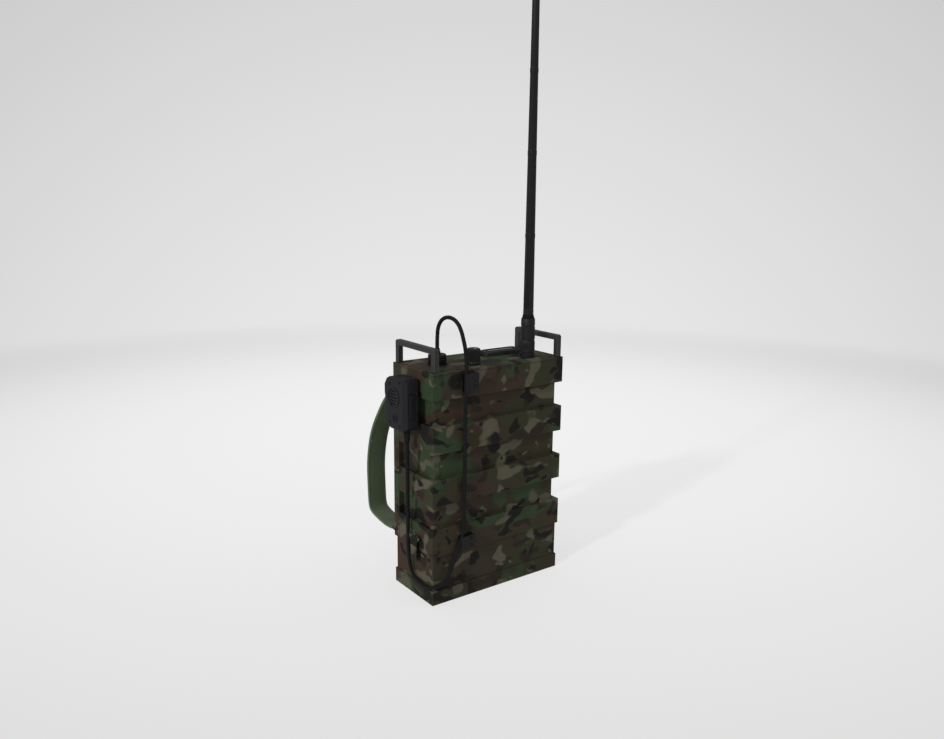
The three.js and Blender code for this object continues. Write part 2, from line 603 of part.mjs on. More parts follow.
const CLIP = { depth: 8.6, lip: 1.2, plate: 1.2 }; // depth, and the thickness in front of and behind the lead
const UPPER_CLIP = { x0: -61.5, x1: -41.5, z0: 273, z1: 296.5, channelEnd: -54.6 };
const LOWER_CLIP = { x0: -66, x1: -45, z0: 70, z1: 87, channelEnd: -56.8 };

// A clip screwed to the case with a channel that the lead lies in, open towards -X up to channelEnd.
function cordClip({ x0, x1, z0, z1, channelEnd }) {
  const face = -CASE.y - GAP;
  const body = box(x0, x1, face - CLIP.depth, face, z0, z1);
  const channel = box(x0 - 1, channelEnd, face - CLIP.depth + CLIP.lip, face - CLIP.plate, z0 - 1, z1 + 1);
  return cut(body, channel);
}

piece("handset_cord", handsetLead(), FINISH.rubber);
piece("plug_strain_relief", plugStrainRelief(), FINISH.rubber);
piece("upper_cord_clip", cordClip(UPPER_CLIP), FINISH.blackPlastic);
piece("lower_cord_clip", cordClip(LOWER_CLIP), FINISH.blackPlastic);

// Shoulder straps ---------------------------------------------------------------------------------

// The strap's outer edge in Y and Z, from its upper mount down to its lower mount.
const STRAP_LINE = [
  [53.3, 270.5], [58.5, 266], [69, 255.5], [80.2, 243], [89.5, 231.5], [98.5, 219], [107, 206.5],
  [113.8, 194], [118.8, 182], [122.2, 170.5], [125, 158], [126.8, 146], [127.4, 133], [127, 120],
  [126.4, 107], [125.6, 94], [124.4, 83.5], [121, 75.8], [114, 71.8], [104, 69.2], [92, 67], [80, 65.6],
  [68, 65.8], [58, 67.6], [53.4, 69.8],
];
const STRAP_BAR = { y: 51.4, radius: 1.6, leg: 1.3 };
const MOUNT = { upperZ: 272, lowerZ: 72.5, plate: 1.5, plateReach: 6, legReach: 3, nose: 0.6 };

function shoulderStrap() {
  const line = STRAP_LINE.map(([y, z]) => new THREE.Vector2(y, z));
  const inner = line.map((point, i) => {
    const before = line[Math.max(i - 1, 0)];
    const after = line[Math.min(i + 1, line.length - 1)];
    const along = after.clone().sub(before).normalize();
    return [point.x + along.y * STRAP.thickness, point.y - along.x * STRAP.thickness];
  });
  return carryX([...STRAP_LINE].reverse().concat(inner), -STRAP.x, -STRAP.x + STRAP.width);
}

// A plate with a bar held off it by two legs: the strap's end is folded round the bar.
function strapMount(z) {
  const x0 = -STRAP.x - GAP - STRAP_BAR.leg;
  const x1 = -STRAP.x + STRAP.width + GAP + STRAP_BAR.leg;
  const y0 = CASE.y + GAP;
  const y1 = STRAP_BAR.y + STRAP_BAR.radius + MOUNT.nose;
  const plate = box(x0, x1, y0, y0 + MOUNT.plate, z - MOUNT.plateReach, z + MOUNT.plateReach);
  const legs = [x0, x1 - STRAP_BAR.leg].map((x) => (
    box(x, x + STRAP_BAR.leg, y0, y1, z - MOUNT.legReach, z + MOUNT.legReach)));
  const bar = rodX(x0 + 0.5, x1 - 0.5, STRAP_BAR.y, z, STRAP_BAR.radius, 12);
  return join(plate, ...legs, bar);
}

pair("shoulder_strap", shoulderStrap(), FINISH.webbing);
pair("upper_strap_mount", strapMount(MOUNT.upperZ), FINISH.paintedMetal);
pair("lower_strap_mount", strapMount(MOUNT.lowerZ), FINISH.paintedMetal);

export default radio;
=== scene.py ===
"""The looks of a toy pack radio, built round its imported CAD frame.

Metres, +Z up. The origin is the centre of the base, the front faces -Y, and the handset hangs at -X.
"""

import json
import math
import random

import bmesh
import bpy
from mathutils import Matrix, Vector


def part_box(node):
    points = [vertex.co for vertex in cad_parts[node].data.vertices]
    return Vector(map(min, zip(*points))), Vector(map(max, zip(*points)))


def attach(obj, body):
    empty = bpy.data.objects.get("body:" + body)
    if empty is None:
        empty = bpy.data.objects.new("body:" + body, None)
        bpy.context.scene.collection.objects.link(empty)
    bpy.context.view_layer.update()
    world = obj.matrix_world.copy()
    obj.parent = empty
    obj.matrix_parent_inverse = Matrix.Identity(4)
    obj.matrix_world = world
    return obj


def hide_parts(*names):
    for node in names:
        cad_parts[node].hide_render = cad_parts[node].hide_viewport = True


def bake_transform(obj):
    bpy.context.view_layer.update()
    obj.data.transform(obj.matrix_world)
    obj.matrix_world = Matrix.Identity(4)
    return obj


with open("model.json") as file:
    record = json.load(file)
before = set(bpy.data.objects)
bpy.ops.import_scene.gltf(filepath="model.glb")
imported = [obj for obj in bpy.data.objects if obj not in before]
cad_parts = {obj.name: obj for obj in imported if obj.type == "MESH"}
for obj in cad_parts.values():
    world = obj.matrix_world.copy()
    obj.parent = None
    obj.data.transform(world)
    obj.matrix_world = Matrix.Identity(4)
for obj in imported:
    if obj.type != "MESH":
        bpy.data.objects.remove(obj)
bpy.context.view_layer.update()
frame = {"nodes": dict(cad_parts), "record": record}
NODES = frame["nodes"]
PANEL_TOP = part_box("top_panel")[1].z
MM = 0.001
SCENE = bpy.context.scene


def bearing(turned, height):
    """The direction turned from +Y towards +X, and raised above the level."""
    return Vector((
        math.cos(height) * math.sin(turned), math.cos(height) * math.cos(turned), math.sin(height)))


def make_object(name, bm):
    """Built geometry as an object of the scene."""
    mesh = bpy.data.meshes.new(name)
    bm.to_mesh(mesh)
    bm.free()
    made = bpy.data.objects.new(name, mesh)
    SCENE.collection.objects.link(made)
    return made


# Camera

CAMERA_PLACE = Vector((-0.6272, -0.8400, 0.5047))
CAMERA_YAW = math.radians(36.19)  # turned from +Y towards +X
CAMERA_PITCH = math.radians(11.784)  # looking down
CAMERA_ROLL = math.radians(0.617)
CAMERA_LENS = 31.208  # on a 36 mm wide sensor


def make_camera():
    data = bpy.data.cameras.new("camera")
    data.sensor_width = 36
    data.lens = CAMERA_LENS
    data.clip_start, data.clip_end = 0.02, 50
    camera = bpy.data.objects.new("camera", data)
    SCENE.collection.objects.link(camera)
    ahead = bearing(CAMERA_YAW, -CAMERA_PITCH)
    level = Vector((math.cos(CAMERA_YAW), -math.sin(CAMERA_YAW), 0))
    right = level * math.cos(CAMERA_ROLL) + level.cross(ahead) * math.sin(CAMERA_ROLL)
    up = right.cross(ahead)
    turn = Matrix((right, up, -ahead)).transposed().to_4x4()
    camera.matrix_world = Matrix.Translation(CAMERA_PLACE) @ turn
    SCENE.camera = camera


make_camera()

# Material graphs


def add(tree, kind, inputs=None, **settings):
    """A shader node with its inputs set to values or linked from other nodes' sockets."""
    node = tree.nodes.new("ShaderNode" + kind)
    for name, value in settings.items():
        setattr(node, name, value)
    for key, value in (inputs or {}).items():
        if isinstance(value, bpy.types.NodeSocket):
            tree.links.new(value, node.inputs[key])
        else:
            node.inputs[key].default_value = value
    return node


def new_material(name):
    material = bpy.data.materials.new(name)
    material.use_nodes = True
    material.node_tree.nodes.clear()
    return material, material.node_tree


def surface(tree, shader):
    add(tree, "OutputMaterial", {"Surface": shader.outputs[0]})


def place(tree):
    """Where a point is in its own object: at rest the room's frame, for every piece but the backdrop."""
    return add(tree, "TexCoord").outputs["Object"]


def stretch(tree, vector, scale, offset=(0, 0, 0)):
    return add(tree, "Mapping", {"Vector": vector, "Scale": scale, "Location": offset}).outputs["Vector"]


def noise(tree, vector, scale, detail=2.0, roughness=0.5):
    return add(tree, "TexNoise", {
        "Vector": vector, "Scale": scale, "Detail": detail, "Roughness": roughness}).outputs["Fac"]


def math_node(tree, operation, a, b=0.0):
    return add(tree, "Math", {0: a, 1: b}, operation=operation).outputs[0]


def times(tree, a, b):
    return math_node(tree, "MULTIPLY", a, b)


def step_up(tree, value, low, high):
    """0 below low, 1 above high."""
    node = add(tree, "MapRange", {"Value": value, "From Min": low, "From Max": high},
               interpolation_type="SMOOTHSTEP")
    return node.outputs["Result"]


def spread(tree, value, low, high):
    """A 0 to 1 value carried to low to high."""
    return add(tree, "MapRange", {"Value": value, "To Min": low, "To Max": high}).outputs["Result"]


def colour(value):
    return (*value, 1.0)


def toned(tone, share):
    return tuple(value * share for value in tone)


def mix(tree, share, first, second):
    node = add(tree, "Mix", data_type="RGBA")
    for index, value in ((0, share), (6, first), (7, second)):
        if isinstance(value, bpy.types.NodeSocket):
            tree.links.new(value, node.inputs[index])
        else:
            node.inputs[index].default_value = value if index == 0 else colour(value)
    return node.outputs[2]


def bump(tree, height, distance, strength):
    return add(tree, "Bump", {"Height": height, "Distance": distance, "Strength": strength}).outputs["Normal"]


def edge_mask(tree, radius, vector, breakup_scale):
    """1 on outward edges, where handling rubs, broken up by noise."""
    rounded = add(tree, "Bevel", {"Radius": radius}, samples=4).outputs["Normal"]
    flat = add(tree, "NewGeometry").outputs["Normal"]
    dot = add(tree, "VectorMath", {0: rounded, 1: flat}, operation="DOT_PRODUCT").outputs["Value"]
    grain = noise(tree, vector, breakup_scale, 4.0, 0.65)
    raised = times(tree, math_node(tree, "SUBTRACT", 1.0, dot), spread(tree, grain, 0.2, 2.4))
    return step_up(tree, raised, 0.02, 0.10)


def cover(material, **inputs):
    """The material with the principled shader over the whole surface."""
    named = {key.replace("_", " "): value for key, value in inputs.items()}
    surface(material.node_tree, add(material.node_tree, "BsdfPrincipled", named))
    return material


# Stage and light


def flat_disc(radii, sides):
    """A disc of rings at z 0, facing up."""
    bm = bmesh.new()
    middle = bm.verts.new((0, 0, 0))
    around = [2 * math.pi * i / sides for i in range(sides)]
    rings = [[bm.verts.new((r * math.cos(a), r * math.sin(a), 0)) for a in around] for r in radii]
    for i in range(sides):
        bm.faces.new((middle, rings[0][i], rings[0][(i + 1) % sides]))
    for inner, outer in zip(rings, rings[1:]):
        for i in range(sides):
            k = (i + 1) % sides
            bm.faces.new((inner[i], outer[i], outer[k], inner[k]))
    return bm


AMBIENT = 0.30  # what the surroundings give every face
SUN_STRENGTH = 0.77
SUN_HEADING = math.radians(76)  # the way its light travels, turned from +Y towards +X
SUN_HEIGHT = math.radians(26.6)
SUN_SPREAD = math.radians(4)
FLOOR_REFLECTANCE = 0.5
FLOOR_RADII = (0.5, 1.0, 1.5, 2.0, 2.5)
FLOOR_RIM = (1.55, 2.45)  # the floor fades out between these radii
SKY_RADIUS = 12
# Each glow is a display grey from 0 to 255. It falls with the distance or angle from its brightest place.
FLOOR_GLOW = {"level": 241, "fall": 11.4, "power": 2.5, "least": 200}
FLOOR_GLOW_CENTRE = (0.41, 0.62, 0)
SKY_GLOW = {"level": 234.6, "fall": 50.7, "power": 2.13, "least": 190}
SKY_GLOW_WAY = bearing(math.radians(35.5), math.radians(-23.9))


def glow_light(tree, away, glow):
    """A glow's linear light, from how far away its brightest place is."""
    fall = times(tree, math_node(tree, "POWER", away, glow["power"]), glow["fall"])
    level = math_node(tree, "MAXIMUM", math_node(tree, "SUBTRACT", glow["level"], fall), glow["least"])
    share = times(tree, level, 1 / 255)
    lifted = times(tree, math_node(tree, "ADD", share, 0.055), 1 / 1.055)
    return math_node(tree, "POWER", lifted, 2.4)


def make_stage():
    floor = make_object("floor", flat_disc(FLOOR_RADII, 96))
    material, tree = new_material("floor")
    here = place(tree)
    away = add(tree, "VectorMath", {0: here, 1: FLOOR_GLOW_CENTRE}, operation="DISTANCE").outputs["Value"]
    lit = FLOOR_REFLECTANCE * (AMBIENT + SUN_STRENGTH * math.sin(SUN_HEIGHT) / math.pi)
    glow = add(tree, "Emission", {
        "Strength": math_node(tree, "SUBTRACT", glow_light(tree, away, FLOOR_GLOW), lit)})
    matt = add(tree, "BsdfDiffuse", {"Color": colour((FLOOR_REFLECTANCE,) * 3)})
    both = add(tree, "AddShader", {0: glow.outputs[0], 1: matt.outputs[0]})
    radius = add(tree, "VectorMath", {0: here}, operation="LENGTH").outputs["Value"]
    clear = add(tree, "BsdfTransparent")
    surface(tree, add(tree, "MixShader", {
        0: step_up(tree, radius, *FLOOR_RIM), 1: both.outputs[0], 2: clear.outputs[0]}))
    floor.data.materials.append(material)

    bm = bmesh.new()
    bmesh.ops.create_icosphere(bm, subdivisions=5, radius=SKY_RADIUS)
    backdrop = make_object("backdrop", bm)
    backdrop.location = CAMERA_PLACE  # fixed in the room, like the glow on it
    material, tree = new_material("backdrop")
    toward = add(tree, "VectorMath", {0: place(tree)}, operation="NORMALIZE").outputs["Vector"]
    dot = add(tree, "VectorMath", {0: toward, 1: SKY_GLOW_WAY}, operation="DOT_PRODUCT").outputs["Value"]
    angle = math_node(tree, "ARCCOSINE", math_node(tree, "MINIMUM", dot, 0.99999))
    surface(tree, add(tree, "Emission", {"Strength": glow_light(tree, angle, SKY_GLOW)}))
    backdrop.data.materials.append(material)

    for piece in (floor, backdrop):
        for ray in ("diffuse", "glossy", "transmission", "shadow"):
            setattr(piece, f"visible_{ray}", False)


def make_lights():
    world = bpy.data.worlds.new("studio")
    world.use_nodes = True
    background = world.node_tree.nodes["Background"]
    background.inputs["Color"].default_value = colour((1.0, 1.0, 1.0))
    background.inputs["Strength"].default_value = AMBIENT
    SCENE.world = world
    sun = bpy.data.lights.new("sun", "SUN")
    sun.energy = SUN_STRENGTH
    sun.angle = SUN_SPREAD
    holder = bpy.data.objects.new("sun", sun)
    holder.rotation_mode = "QUATERNION"
    holder.rotation_quaternion = bearing(SUN_HEADING, -SUN_HEIGHT).to_track_quat("-Z", "Y")
    SCENE.collection.objects.link(holder)
    SCENE.view_settings.view_transform = "Standard"


make_stage()
make_lights()

# Materials

RUST = (0.082, 0.050, 0.033)
MOSS = (0.060, 0.062, 0.030)
GREEN = (0.056, 0.091, 0.042)
UMBER = (0.042, 0.030, 0.021)
KHAKI = (0.170, 0.158, 0.105)
DARK = (0.015, 0.014, 0.012)
CAMOUFLAGE_GROUND = (0.066, 0.055, 0.032)
CAMOUFLAGE_PATCHES = (  # each layer's noise scale, offset, the noise it starts and is full at, and its colour
    (15, (3.1, 0, 0), 0.44, 0.58, RUST), (17, (0, 7.7, 0), 0.51, 0.60, MOSS),
    (24, (5.2, 1.3, 0), 0.520, 0.580, GREEN), (40, (1.2, 4.4, 2.9), 0.58, 0.65, UMBER),
    (33, (8.4, 0, 4.6), 0.588, 0.640, KHAKI), (36, (0, 2.2, 9.1), 0.588, 0.638, DARK),
    (64, (6.6, 3.8, 1.7), 0.685, 0.725, KHAKI), (58, (2.7, 9.3, 5.5), 0.680, 0.720, DARK),
)


def camouflage(name, shade=1.0):
    """A printed woodland pattern on matt moulded plastic, in one pattern that runs round the corners."""
    material, tree = new_material(name)
    here = place(tree)
    swirl = add(tree, "TexNoise", {"Vector": here, "Scale": 24.0, "Detail": 2.0})
    push = add(tree, "VectorMath", {0: swirl.outputs["Color"], 1: (0.5, 0.5, 0.5)}, operation="SUBTRACT")
    push = add(tree, "VectorMath", {0: push.outputs["Vector"], "Scale": 0.036}, operation="SCALE")
    warped = add(tree, "VectorMath", {0: here, 1: push.outputs["Vector"]}, operation="ADD").outputs["Vector"]

    def field(scale, offset):
        return noise(tree, stretch(tree, warped, (0.72, 0.72, 1.05), offset), scale, 1.0)

    base = CAMOUFLAGE_GROUND
    for scale, offset, low, high, patch in CAMOUFLAGE_PATCHES:
        base = mix(tree, step_up(tree, field(scale, offset), low, high), base, patch)
    if shade != 1.0:
        base = mix(tree, 1 - shade, base, (0.03, 0.026, 0.018))

    grain = noise(tree, here, 900, 2.0, 0.6)
    mottle = noise(tree, here, 60, 5.0, 0.6)
    mottled = add(tree, "VectorMath", {0: base, "Scale": spread(tree, mottle, 0.80, 1.20)}, operation="SCALE")
    worn_share = times(tree, edge_mask(tree, 0.0012, here, 140), 0.55)
    skin = mix(tree, worn_share, mottled.outputs["Vector"], (0.115, 0.105, 0.080))
    normal = bump(tree, grain, 0.00025, 0.35)
    roughness = spread(tree, mottle, 0.62, 0.88)
    return cover(material, Base_Color=skin, Roughness=roughness, Normal=normal, Specular_IOR_Level=0.35)


def moulded(name, tone, roughness, grain_scale, grain_depth, edge_tone, edge_share, specular=0.5):
    """Plastic or rubber from a textured mould: fine grain, faint scuffs, and polished or paler edges."""
    material, tree = new_material(name)
    here = place(tree)
    grain = noise(tree, here, grain_scale, 3.0, 0.6)
    cloud = noise(tree, here, 45, 5.0, 0.6)
    scuffs = noise(tree, stretch(tree, here, (1.0, 1.0, 0.12)), 260, 4.0, 0.7)
    scuffed = times(tree, step_up(tree, scuffs, 0.60, 0.78), 0.12)
    base = mix(tree, cloud, toned(tone, 0.82), toned(tone, 1.20))
    base = mix(tree, scuffed, base, edge_tone)
    worn = times(tree, edge_mask(tree, 0.0006, here, 300), edge_share)
    base = mix(tree, worn, base, edge_tone)
    normal = bump(tree, grain, grain_depth, 0.5)
    rough = spread(tree, cloud, roughness - 0.08, roughness + 0.10)
    return cover(material, Base_Color=base, Roughness=rough, Normal=normal, Specular_IOR_Level=specular)


def painted(name, tone, bare):
    """Painted metal with the paint rubbed off its edges, where the bare metal shows."""
    material, tree = new_material(name)
    here = place(tree)
    peel = noise(tree, here, 520)
    cloud = noise(tree, here, 55, 5.0, 0.6)
    paint_tone = mix(tree, cloud, toned(tone, 0.80), toned(tone, 1.22))
    chips = step_up(tree, noise(tree, here, 210, 5.0, 0.7), 0.66, 0.70)
    worn = math_node(tree, "MAXIMUM", edge_mask(tree, 0.0008, here, 260), times(tree, chips, 0.7))
    skin = mix(tree, worn, paint_tone, bare)
    rough = add(tree, "Mix", {0: worn, 2: spread(tree, cloud, 0.37, 0.55),
                              3: spread(tree, noise(tree, here, 800), 0.32, 0.55)}).outputs[0]
    return cover(material, Base_Color=skin, Metallic=worn, Roughness=rough,
                 Normal=bump(tree, peel, 0.00012, 0.4))


def metal(name, tone, roughness):
    """Bare plated metal with a fine drawn grain and duller patches."""
    material, tree = new_material(name)
    here = place(tree)
    drawn = noise(tree, stretch(tree, here, (1, 1, 0.08)), 1500, 3.0, 0.6)
    cloud = noise(tree, here, 80, 5.0, 0.6)
    base = mix(tree, cloud, toned(tone, 0.75), toned(tone, 1.15))
    rough = math_node(tree, "ADD", spread(tree, cloud, roughness - 0.08, roughness + 0.12),
                      spread(tree, drawn, -0.06, 0.06))
    return cover(material, Base_Color=base, Metallic=1.0, Roughness=rough,
                 Normal=bump(tree, drawn, 0.00006, 0.4))


def smoked_window(name):
    """A glossy window over an unlit grey-green display, with smears."""
    material, tree = new_material(name)
    here = place(tree)
    smear = noise(tree, stretch(tree, here, (1.0, 0.35, 1.0)), 120, 4.0, 0.6)
    base = mix(tree, smear, (0.058, 0.066, 0.050), (0.078, 0.086, 0.066))
    return cover(material, Base_Color=base, Roughness=spread(tree, smear, 0.06, 0.22), IOR=1.49)


def circuit_board(name):
    """Green laminate with a grid of paler tracks."""
    material, tree = new_material(name)
    here = place(tree)
    cells = add(tree, "TexVoronoi", {"Vector": here, "Scale": 160.0, "Randomness": 0.2}, distance="MANHATTAN")
    tracks = step_up(tree, cells.outputs["Distance"], 0.40, 0.46)
    base = mix(tree, tracks, (0.010, 0.060, 0.024), (0.030, 0.130, 0.050))
    return cover(material, Base_Color=base, Roughness=spread(tree, tracks, 0.45, 0.30),
                 Normal=bump(tree, tracks, 0.0001, 0.6))


def cell_jacket(name):
    """A printed steel jacket, darker towards one end."""
    material, tree = new_material(name)
    here = place(tree)
    cloud = noise(tree, here, 90, 4.0, 0.6)
    along = add(tree, "SeparateXYZ", {0: here}).outputs["X"]
    folded = math_node(tree, "PINGPONG", math_node(tree, "ABSOLUTE", along), 0.066)
    bands = step_up(tree, folded, 0.040, 0.041)
    base = mix(tree, bands, (0.22, 0.19, 0.10), (0.030, 0.030, 0.028))
    return cover(material, Base_Color=base, Metallic=0.6, Roughness=spread(tree, cloud, 0.25, 0.45))


MATERIALS = {name: make(name, *look) for make, name, *look in (
    (camouflage, "camo_plastic"),
    (camouflage, "base_plastic", 0.8),
    (moulded, "dark_plastic", (0.0120, 0.0115, 0.0158), 0.50, 1100, 0.00025, (0.046, 0.046, 0.053), 0.5),
    (moulded, "black_plastic", (0.0085, 0.0085, 0.0090), 0.45, 1400, 0.00015, (0.036, 0.036, 0.039), 0.5),
    (moulded, "rubber", (0.014, 0.014, 0.015), 0.78, 700, 0.0003, (0.04, 0.04, 0.04), 0.35, 0.3),
    (painted, "painted_metal", (0.050, 0.050, 0.053), (0.34, 0.33, 0.31)),
    (metal, "steel", (0.42, 0.42, 0.43), 0.38),
    (metal, "brass", (0.55, 0.42, 0.20), 0.35),
    (smoked_window, "window_plastic"),
    (circuit_board, "circuit_board"),
    (cell_jacket, "cell_jacket"),
)}
SLOT_OF = {row["node"]: row["material_slot"] for row in frame["record"]["subparts"]}
GREY_PLASTIC = moulded("grey_plastic", (0.047, 0.047, 0.050), 0.42, 1100, 0.00025, (0.12, 0.12, 0.125), 0.5)
BLACKENED = metal("blackened_steel", (0.060, 0.060, 0.062), 0.42)

# Carried-over CAD nodes


def soften(name, width, segments=3):
    """Welds a CAD node's split corners, then rounds its edges, in modifiers."""
    modifiers = NODES[name].modifiers
    modifiers.new("weld", "WELD").merge_threshold = 2e-6
    rounding = modifiers.new("round", "BEVEL")
    rounding.width = width
    rounding.segments = segments
    rounding.limit_method = "ANGLE"
    rounding.angle_limit = math.radians(35)
    modifiers.new("normals", "WEIGHTED_NORMAL").weight = 80


for name, node in NODES.items():
    node.data.materials.clear()
    if not name.endswith("_shoulder_strap"):  # the sewn straps stand for these
        node.data.materials.append(MATERIALS[SLOT_OF[name]])
NODES["display_housing"].data.materials[0] = GREY_PLASTIC
for number in (1, 2, 3, 4):
    NODES[f"back_screw_{number}"].data.materials[0] = BLACKENED
for name in ("front_shell", "back_shell", "top_panel", "battery_box", "base_cover"):
    soften(name, 0.35 * MM)
for name in ("left_guard", "right_guard", "display_housing", "upper_cord_clip", "lower_cord_clip",
             "handset_hanger"):
    soften(name, 0.5 * MM)
for side in ("left", "right"):
    for part in ("latch_mount", "latch_lever", "upper_strap_mount", "lower_strap_mount"):
        soften(f"{side}_{part}", 0.25 * MM, 2)

# Shape helpers


def finish_piece(name, bm, slot, body, stands_for=(), sharp=38, material=None):
    """Turns built geometry into a piece that rides on a body and stands for CAD nodes."""
    bmesh.ops.recalc_face_normals(bm, faces=bm.faces)
    piece = make_object(name, bm)
    mesh = piece.data
    mesh.polygons.foreach_set("use_smooth", [True] * len(mesh.polygons))
    mesh.set_sharp_from_angle(angle=math.radians(sharp))
    mesh.materials.append(material or MATERIALS[slot])
    if body:
        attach(piece, body)
    if stands_for:
        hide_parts(*stands_for)
    return piece


def fillet(points, radius, steps):
    """A closed outline with its corners rounded, a corner's neighbours permitting."""
    out = []
    for i, point in enumerate(points):
        here = Vector(point)
        before = Vector(points[i - 1]) - here
        after = Vector(points[(i + 1) % len(points)]) - here
        start = here + before.normalized() * min(radius, before.length * 0.45)
        end = here + after.normalized() * min(radius, after.length * 0.45)
        for k in range(steps + 1):
            t = k / steps
            out.append(start * (1 - t) ** 2 + here * 2 * t * (1 - t) + end * t * t)
    return out


def bridge(bm, first, second):
    """Faces between two rings of vertices, or a ring and the single vertex that closes it."""
    count = max(len(first), len(second))
    for i in range(count):
        k = (i + 1) % count
        if len(first) == 1:
            bm.faces.new((first[0], second[i], second[k]))
        elif len(second) == 1:
            bm.faces.new((first[i], second[0], first[k]))
        else:
            bm.faces.new((first[i], second[i], second[k], first[k]))


def lathe(bm, profile, sides, where, flutes=0, flute_depth=0.0, fluted=(0, 0)):
    """Turns (radius, height) pairs round the Z axis of where. Heights within fluted get flutes."""
    rings = []
    for radius, height in profile:
        if radius < 1e-7:
            rings.append([bm.verts.new(where @ Vector((0, 0, height)))])
            continue
        ring = []
        for i in range(sides):
            angle = 2 * math.pi * i / sides
            depth = 0.0
            if flutes and fluted[0] <= height <= fluted[1]:
                depth = flute_depth * (0.5 - 0.5 * math.cos(flutes * angle)) ** 2
            reach = radius - depth
            spot = Vector((reach * math.cos(angle), reach * math.sin(angle), height))
            ring.append(bm.verts.new(where @ spot))
        rings.append(ring)
    for first, second in zip(rings, rings[1:]):
        bridge(bm, first, second)


def turned(name, profile, sides, where, slot, body, stands_for=(), **fluting):
    """A piece of one lathe profile."""
    bm = bmesh.new()
    lathe(bm, profile, sides, where, **fluting)
    return finish_piece(name, bm, slot, body, stands_for)


IN_MM = Matrix.Scale(MM, 4)  # for profiles given in millimetres


def upright(point):
    """A place above a point, for profiles in millimetres."""
    return Matrix.Translation(point) @ IN_MM


def facing(point, direction):
    """A place in metres whose Z axis points along direction."""
    turn = Vector(direction).to_track_quat("Z", "Y").to_matrix().to_4x4()
    return Matrix.Translation(point) @ turn


def rounded_box(bm, low, high, radius, segments):
    size = Vector(high) - Vector(low)
    middle = (Vector(high) + Vector(low)) / 2
    shape = Matrix.Translation(middle) @ Matrix.Diagonal((*size, 1))
    made = bmesh.ops.create_cube(bm, size=1.0, matrix=shape)
    edges = {edge for vert in made["verts"] for edge in vert.link_edges}
    bmesh.ops.bevel(bm, geom=list(edges), offset=radius, segments=segments, profile=0.5, affect="EDGES",
                    clamp_overlap=True)


def smooth_line(points, spacing):
    """Points along a centripetal Catmull-Rom curve, about spacing apart."""
    points = [Vector(p) for p in points]
    padded = [points[0] * 2 - points[1], *points, points[-1] * 2 - points[-2]]
    out = []
    for p0, p1, p2, p3 in zip(padded, padded[1:], padded[2:], padded[3:]):
        knots = [0.0]
        for a, b in ((p0, p1), (p1, p2), (p2, p3)):
            knots.append(knots[-1] + max((b - a).length, 1e-9) ** 0.5)
        steps = max(1, round((p2 - p1).length / spacing))
        for k in range(steps):
            t = knots[1] + (knots[2] - knots[1]) * k / steps

            def between(a, b, ta, tb):
                return a * ((tb - t) / (tb - ta)) + b * ((t - ta) / (tb - ta))

            a1 = between(p0, p1, knots[0], knots[1])
            a2 = between(p1, p2, knots[1], knots[2])
            a3 = between(p2, p3, knots[2], knots[3])
            b1 = between(a1, a2, knots[0], knots[2])
            b2 = between(a2, a3, knots[1], knots[3])
            out.append(between(b1, b2, knots[1], knots[2]))
    out.append(points[-1])
    return out


def tangents(points):
    last = len(points) - 1
    return [(points[min(i + 1, last)] - points[max(i - 1, 0)]).normalized() for i in range(len(points))]


def tube(bm, points, radius, sides):
    """A closed tube whose rings don't twist."""
    across = None
    rings = []
    for point, ahead in zip(points, tangents(points)):
        if across is None:
            across = ahead.orthogonal().normalized()
        across = (across - ahead * across.dot(ahead)).normalized()
        other = ahead.cross(across)
        rings.append([
            bm.verts.new(point + radius * (across * math.cos(a) + other * math.sin(a)))
            for a in (2 * math.pi * i / sides for i in range(sides))
        ])
    bm.faces.new(rings[0])
    bm.faces.new(list(reversed(rings[-1])))
    for first, second in zip(rings, rings[1:]):
        bridge(bm, first, second)


def middle_of(name):
    low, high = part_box(name)
    return (low + high) / 2


def round_node(name):
    """The middle of a round upright CAD node's foot, and its radius and height in millimetres."""
    low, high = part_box(name)
    middle = middle_of(name)
    return Vector((middle.x, middle.y, low.z)), (high.x - low.x) / 2 / MM, (high.z - low.z) / MM


# The handset's lead

LEAD_DIAMETER = 0.005
PLUG_GRIP = 10.7  # height of the plug's grip, in millimetres
LEAD_ROUTE = [
    (-67, 0, 321.5), (-67, 0, 326), (-67, -0.1, 332), (-66.9, -0.3, 338.5), (-66.7, -1, 345),
    (-66.3, -3, 351), (-65.7, -6.6, 356.2), (-64.8, -11.6, 360), (-63.7, -17.8, 361.9), (-62.3, -24.6, 361.6),
    (-60.9, -31.4, 358.8), (-59.8, -37, 353.6), (-59, -41, 346.6), (-58.4, -44.2, 338), (-57.9, -47.3, 328),
    (-57.8, -49.7, 316), (-57.9, -50.6, 302), (-58.2, -50.6, 286), (-58.7, -50.6, 260), (-59, -50.6, 215),
    (-59.2, -50.6, 165), (-59.6, -50.6, 120), (-60.2, -50.6, 97), (-62.3, -50.6, 85.5), (-66.6, -50.6, 74.5),
    (-70.5, -50.5, 66), (-74.3, -50.4, 57), (-78, -50.2, 48), (-82.4, -50.1, 39.5), (-88.5, -50, 32),
    (-96.5, -49.6, 27.8), (-104, -46.2, 25.8), (-107.8, -40.5, 24.9), (-108.6, -33, 24.6),
    (-108.2, -25, 24.6), (-107.8, -17, 25), (-107.6, -10, 27), (-107.6, -4, 31.2), (-107.7, 0, 38),
    (-108, 2.4, 48), (-108.6, 3.4, 62), (-109.6, 2.6, 84), (-111.3, 0.2, 115), (-113.8, -3.8, 150),
    (-116.6, -7.8, 181), (-118.4, -10.2, 199), (-118.8, -10.8, 209),
]  # in millimetres, from the plug to the handset


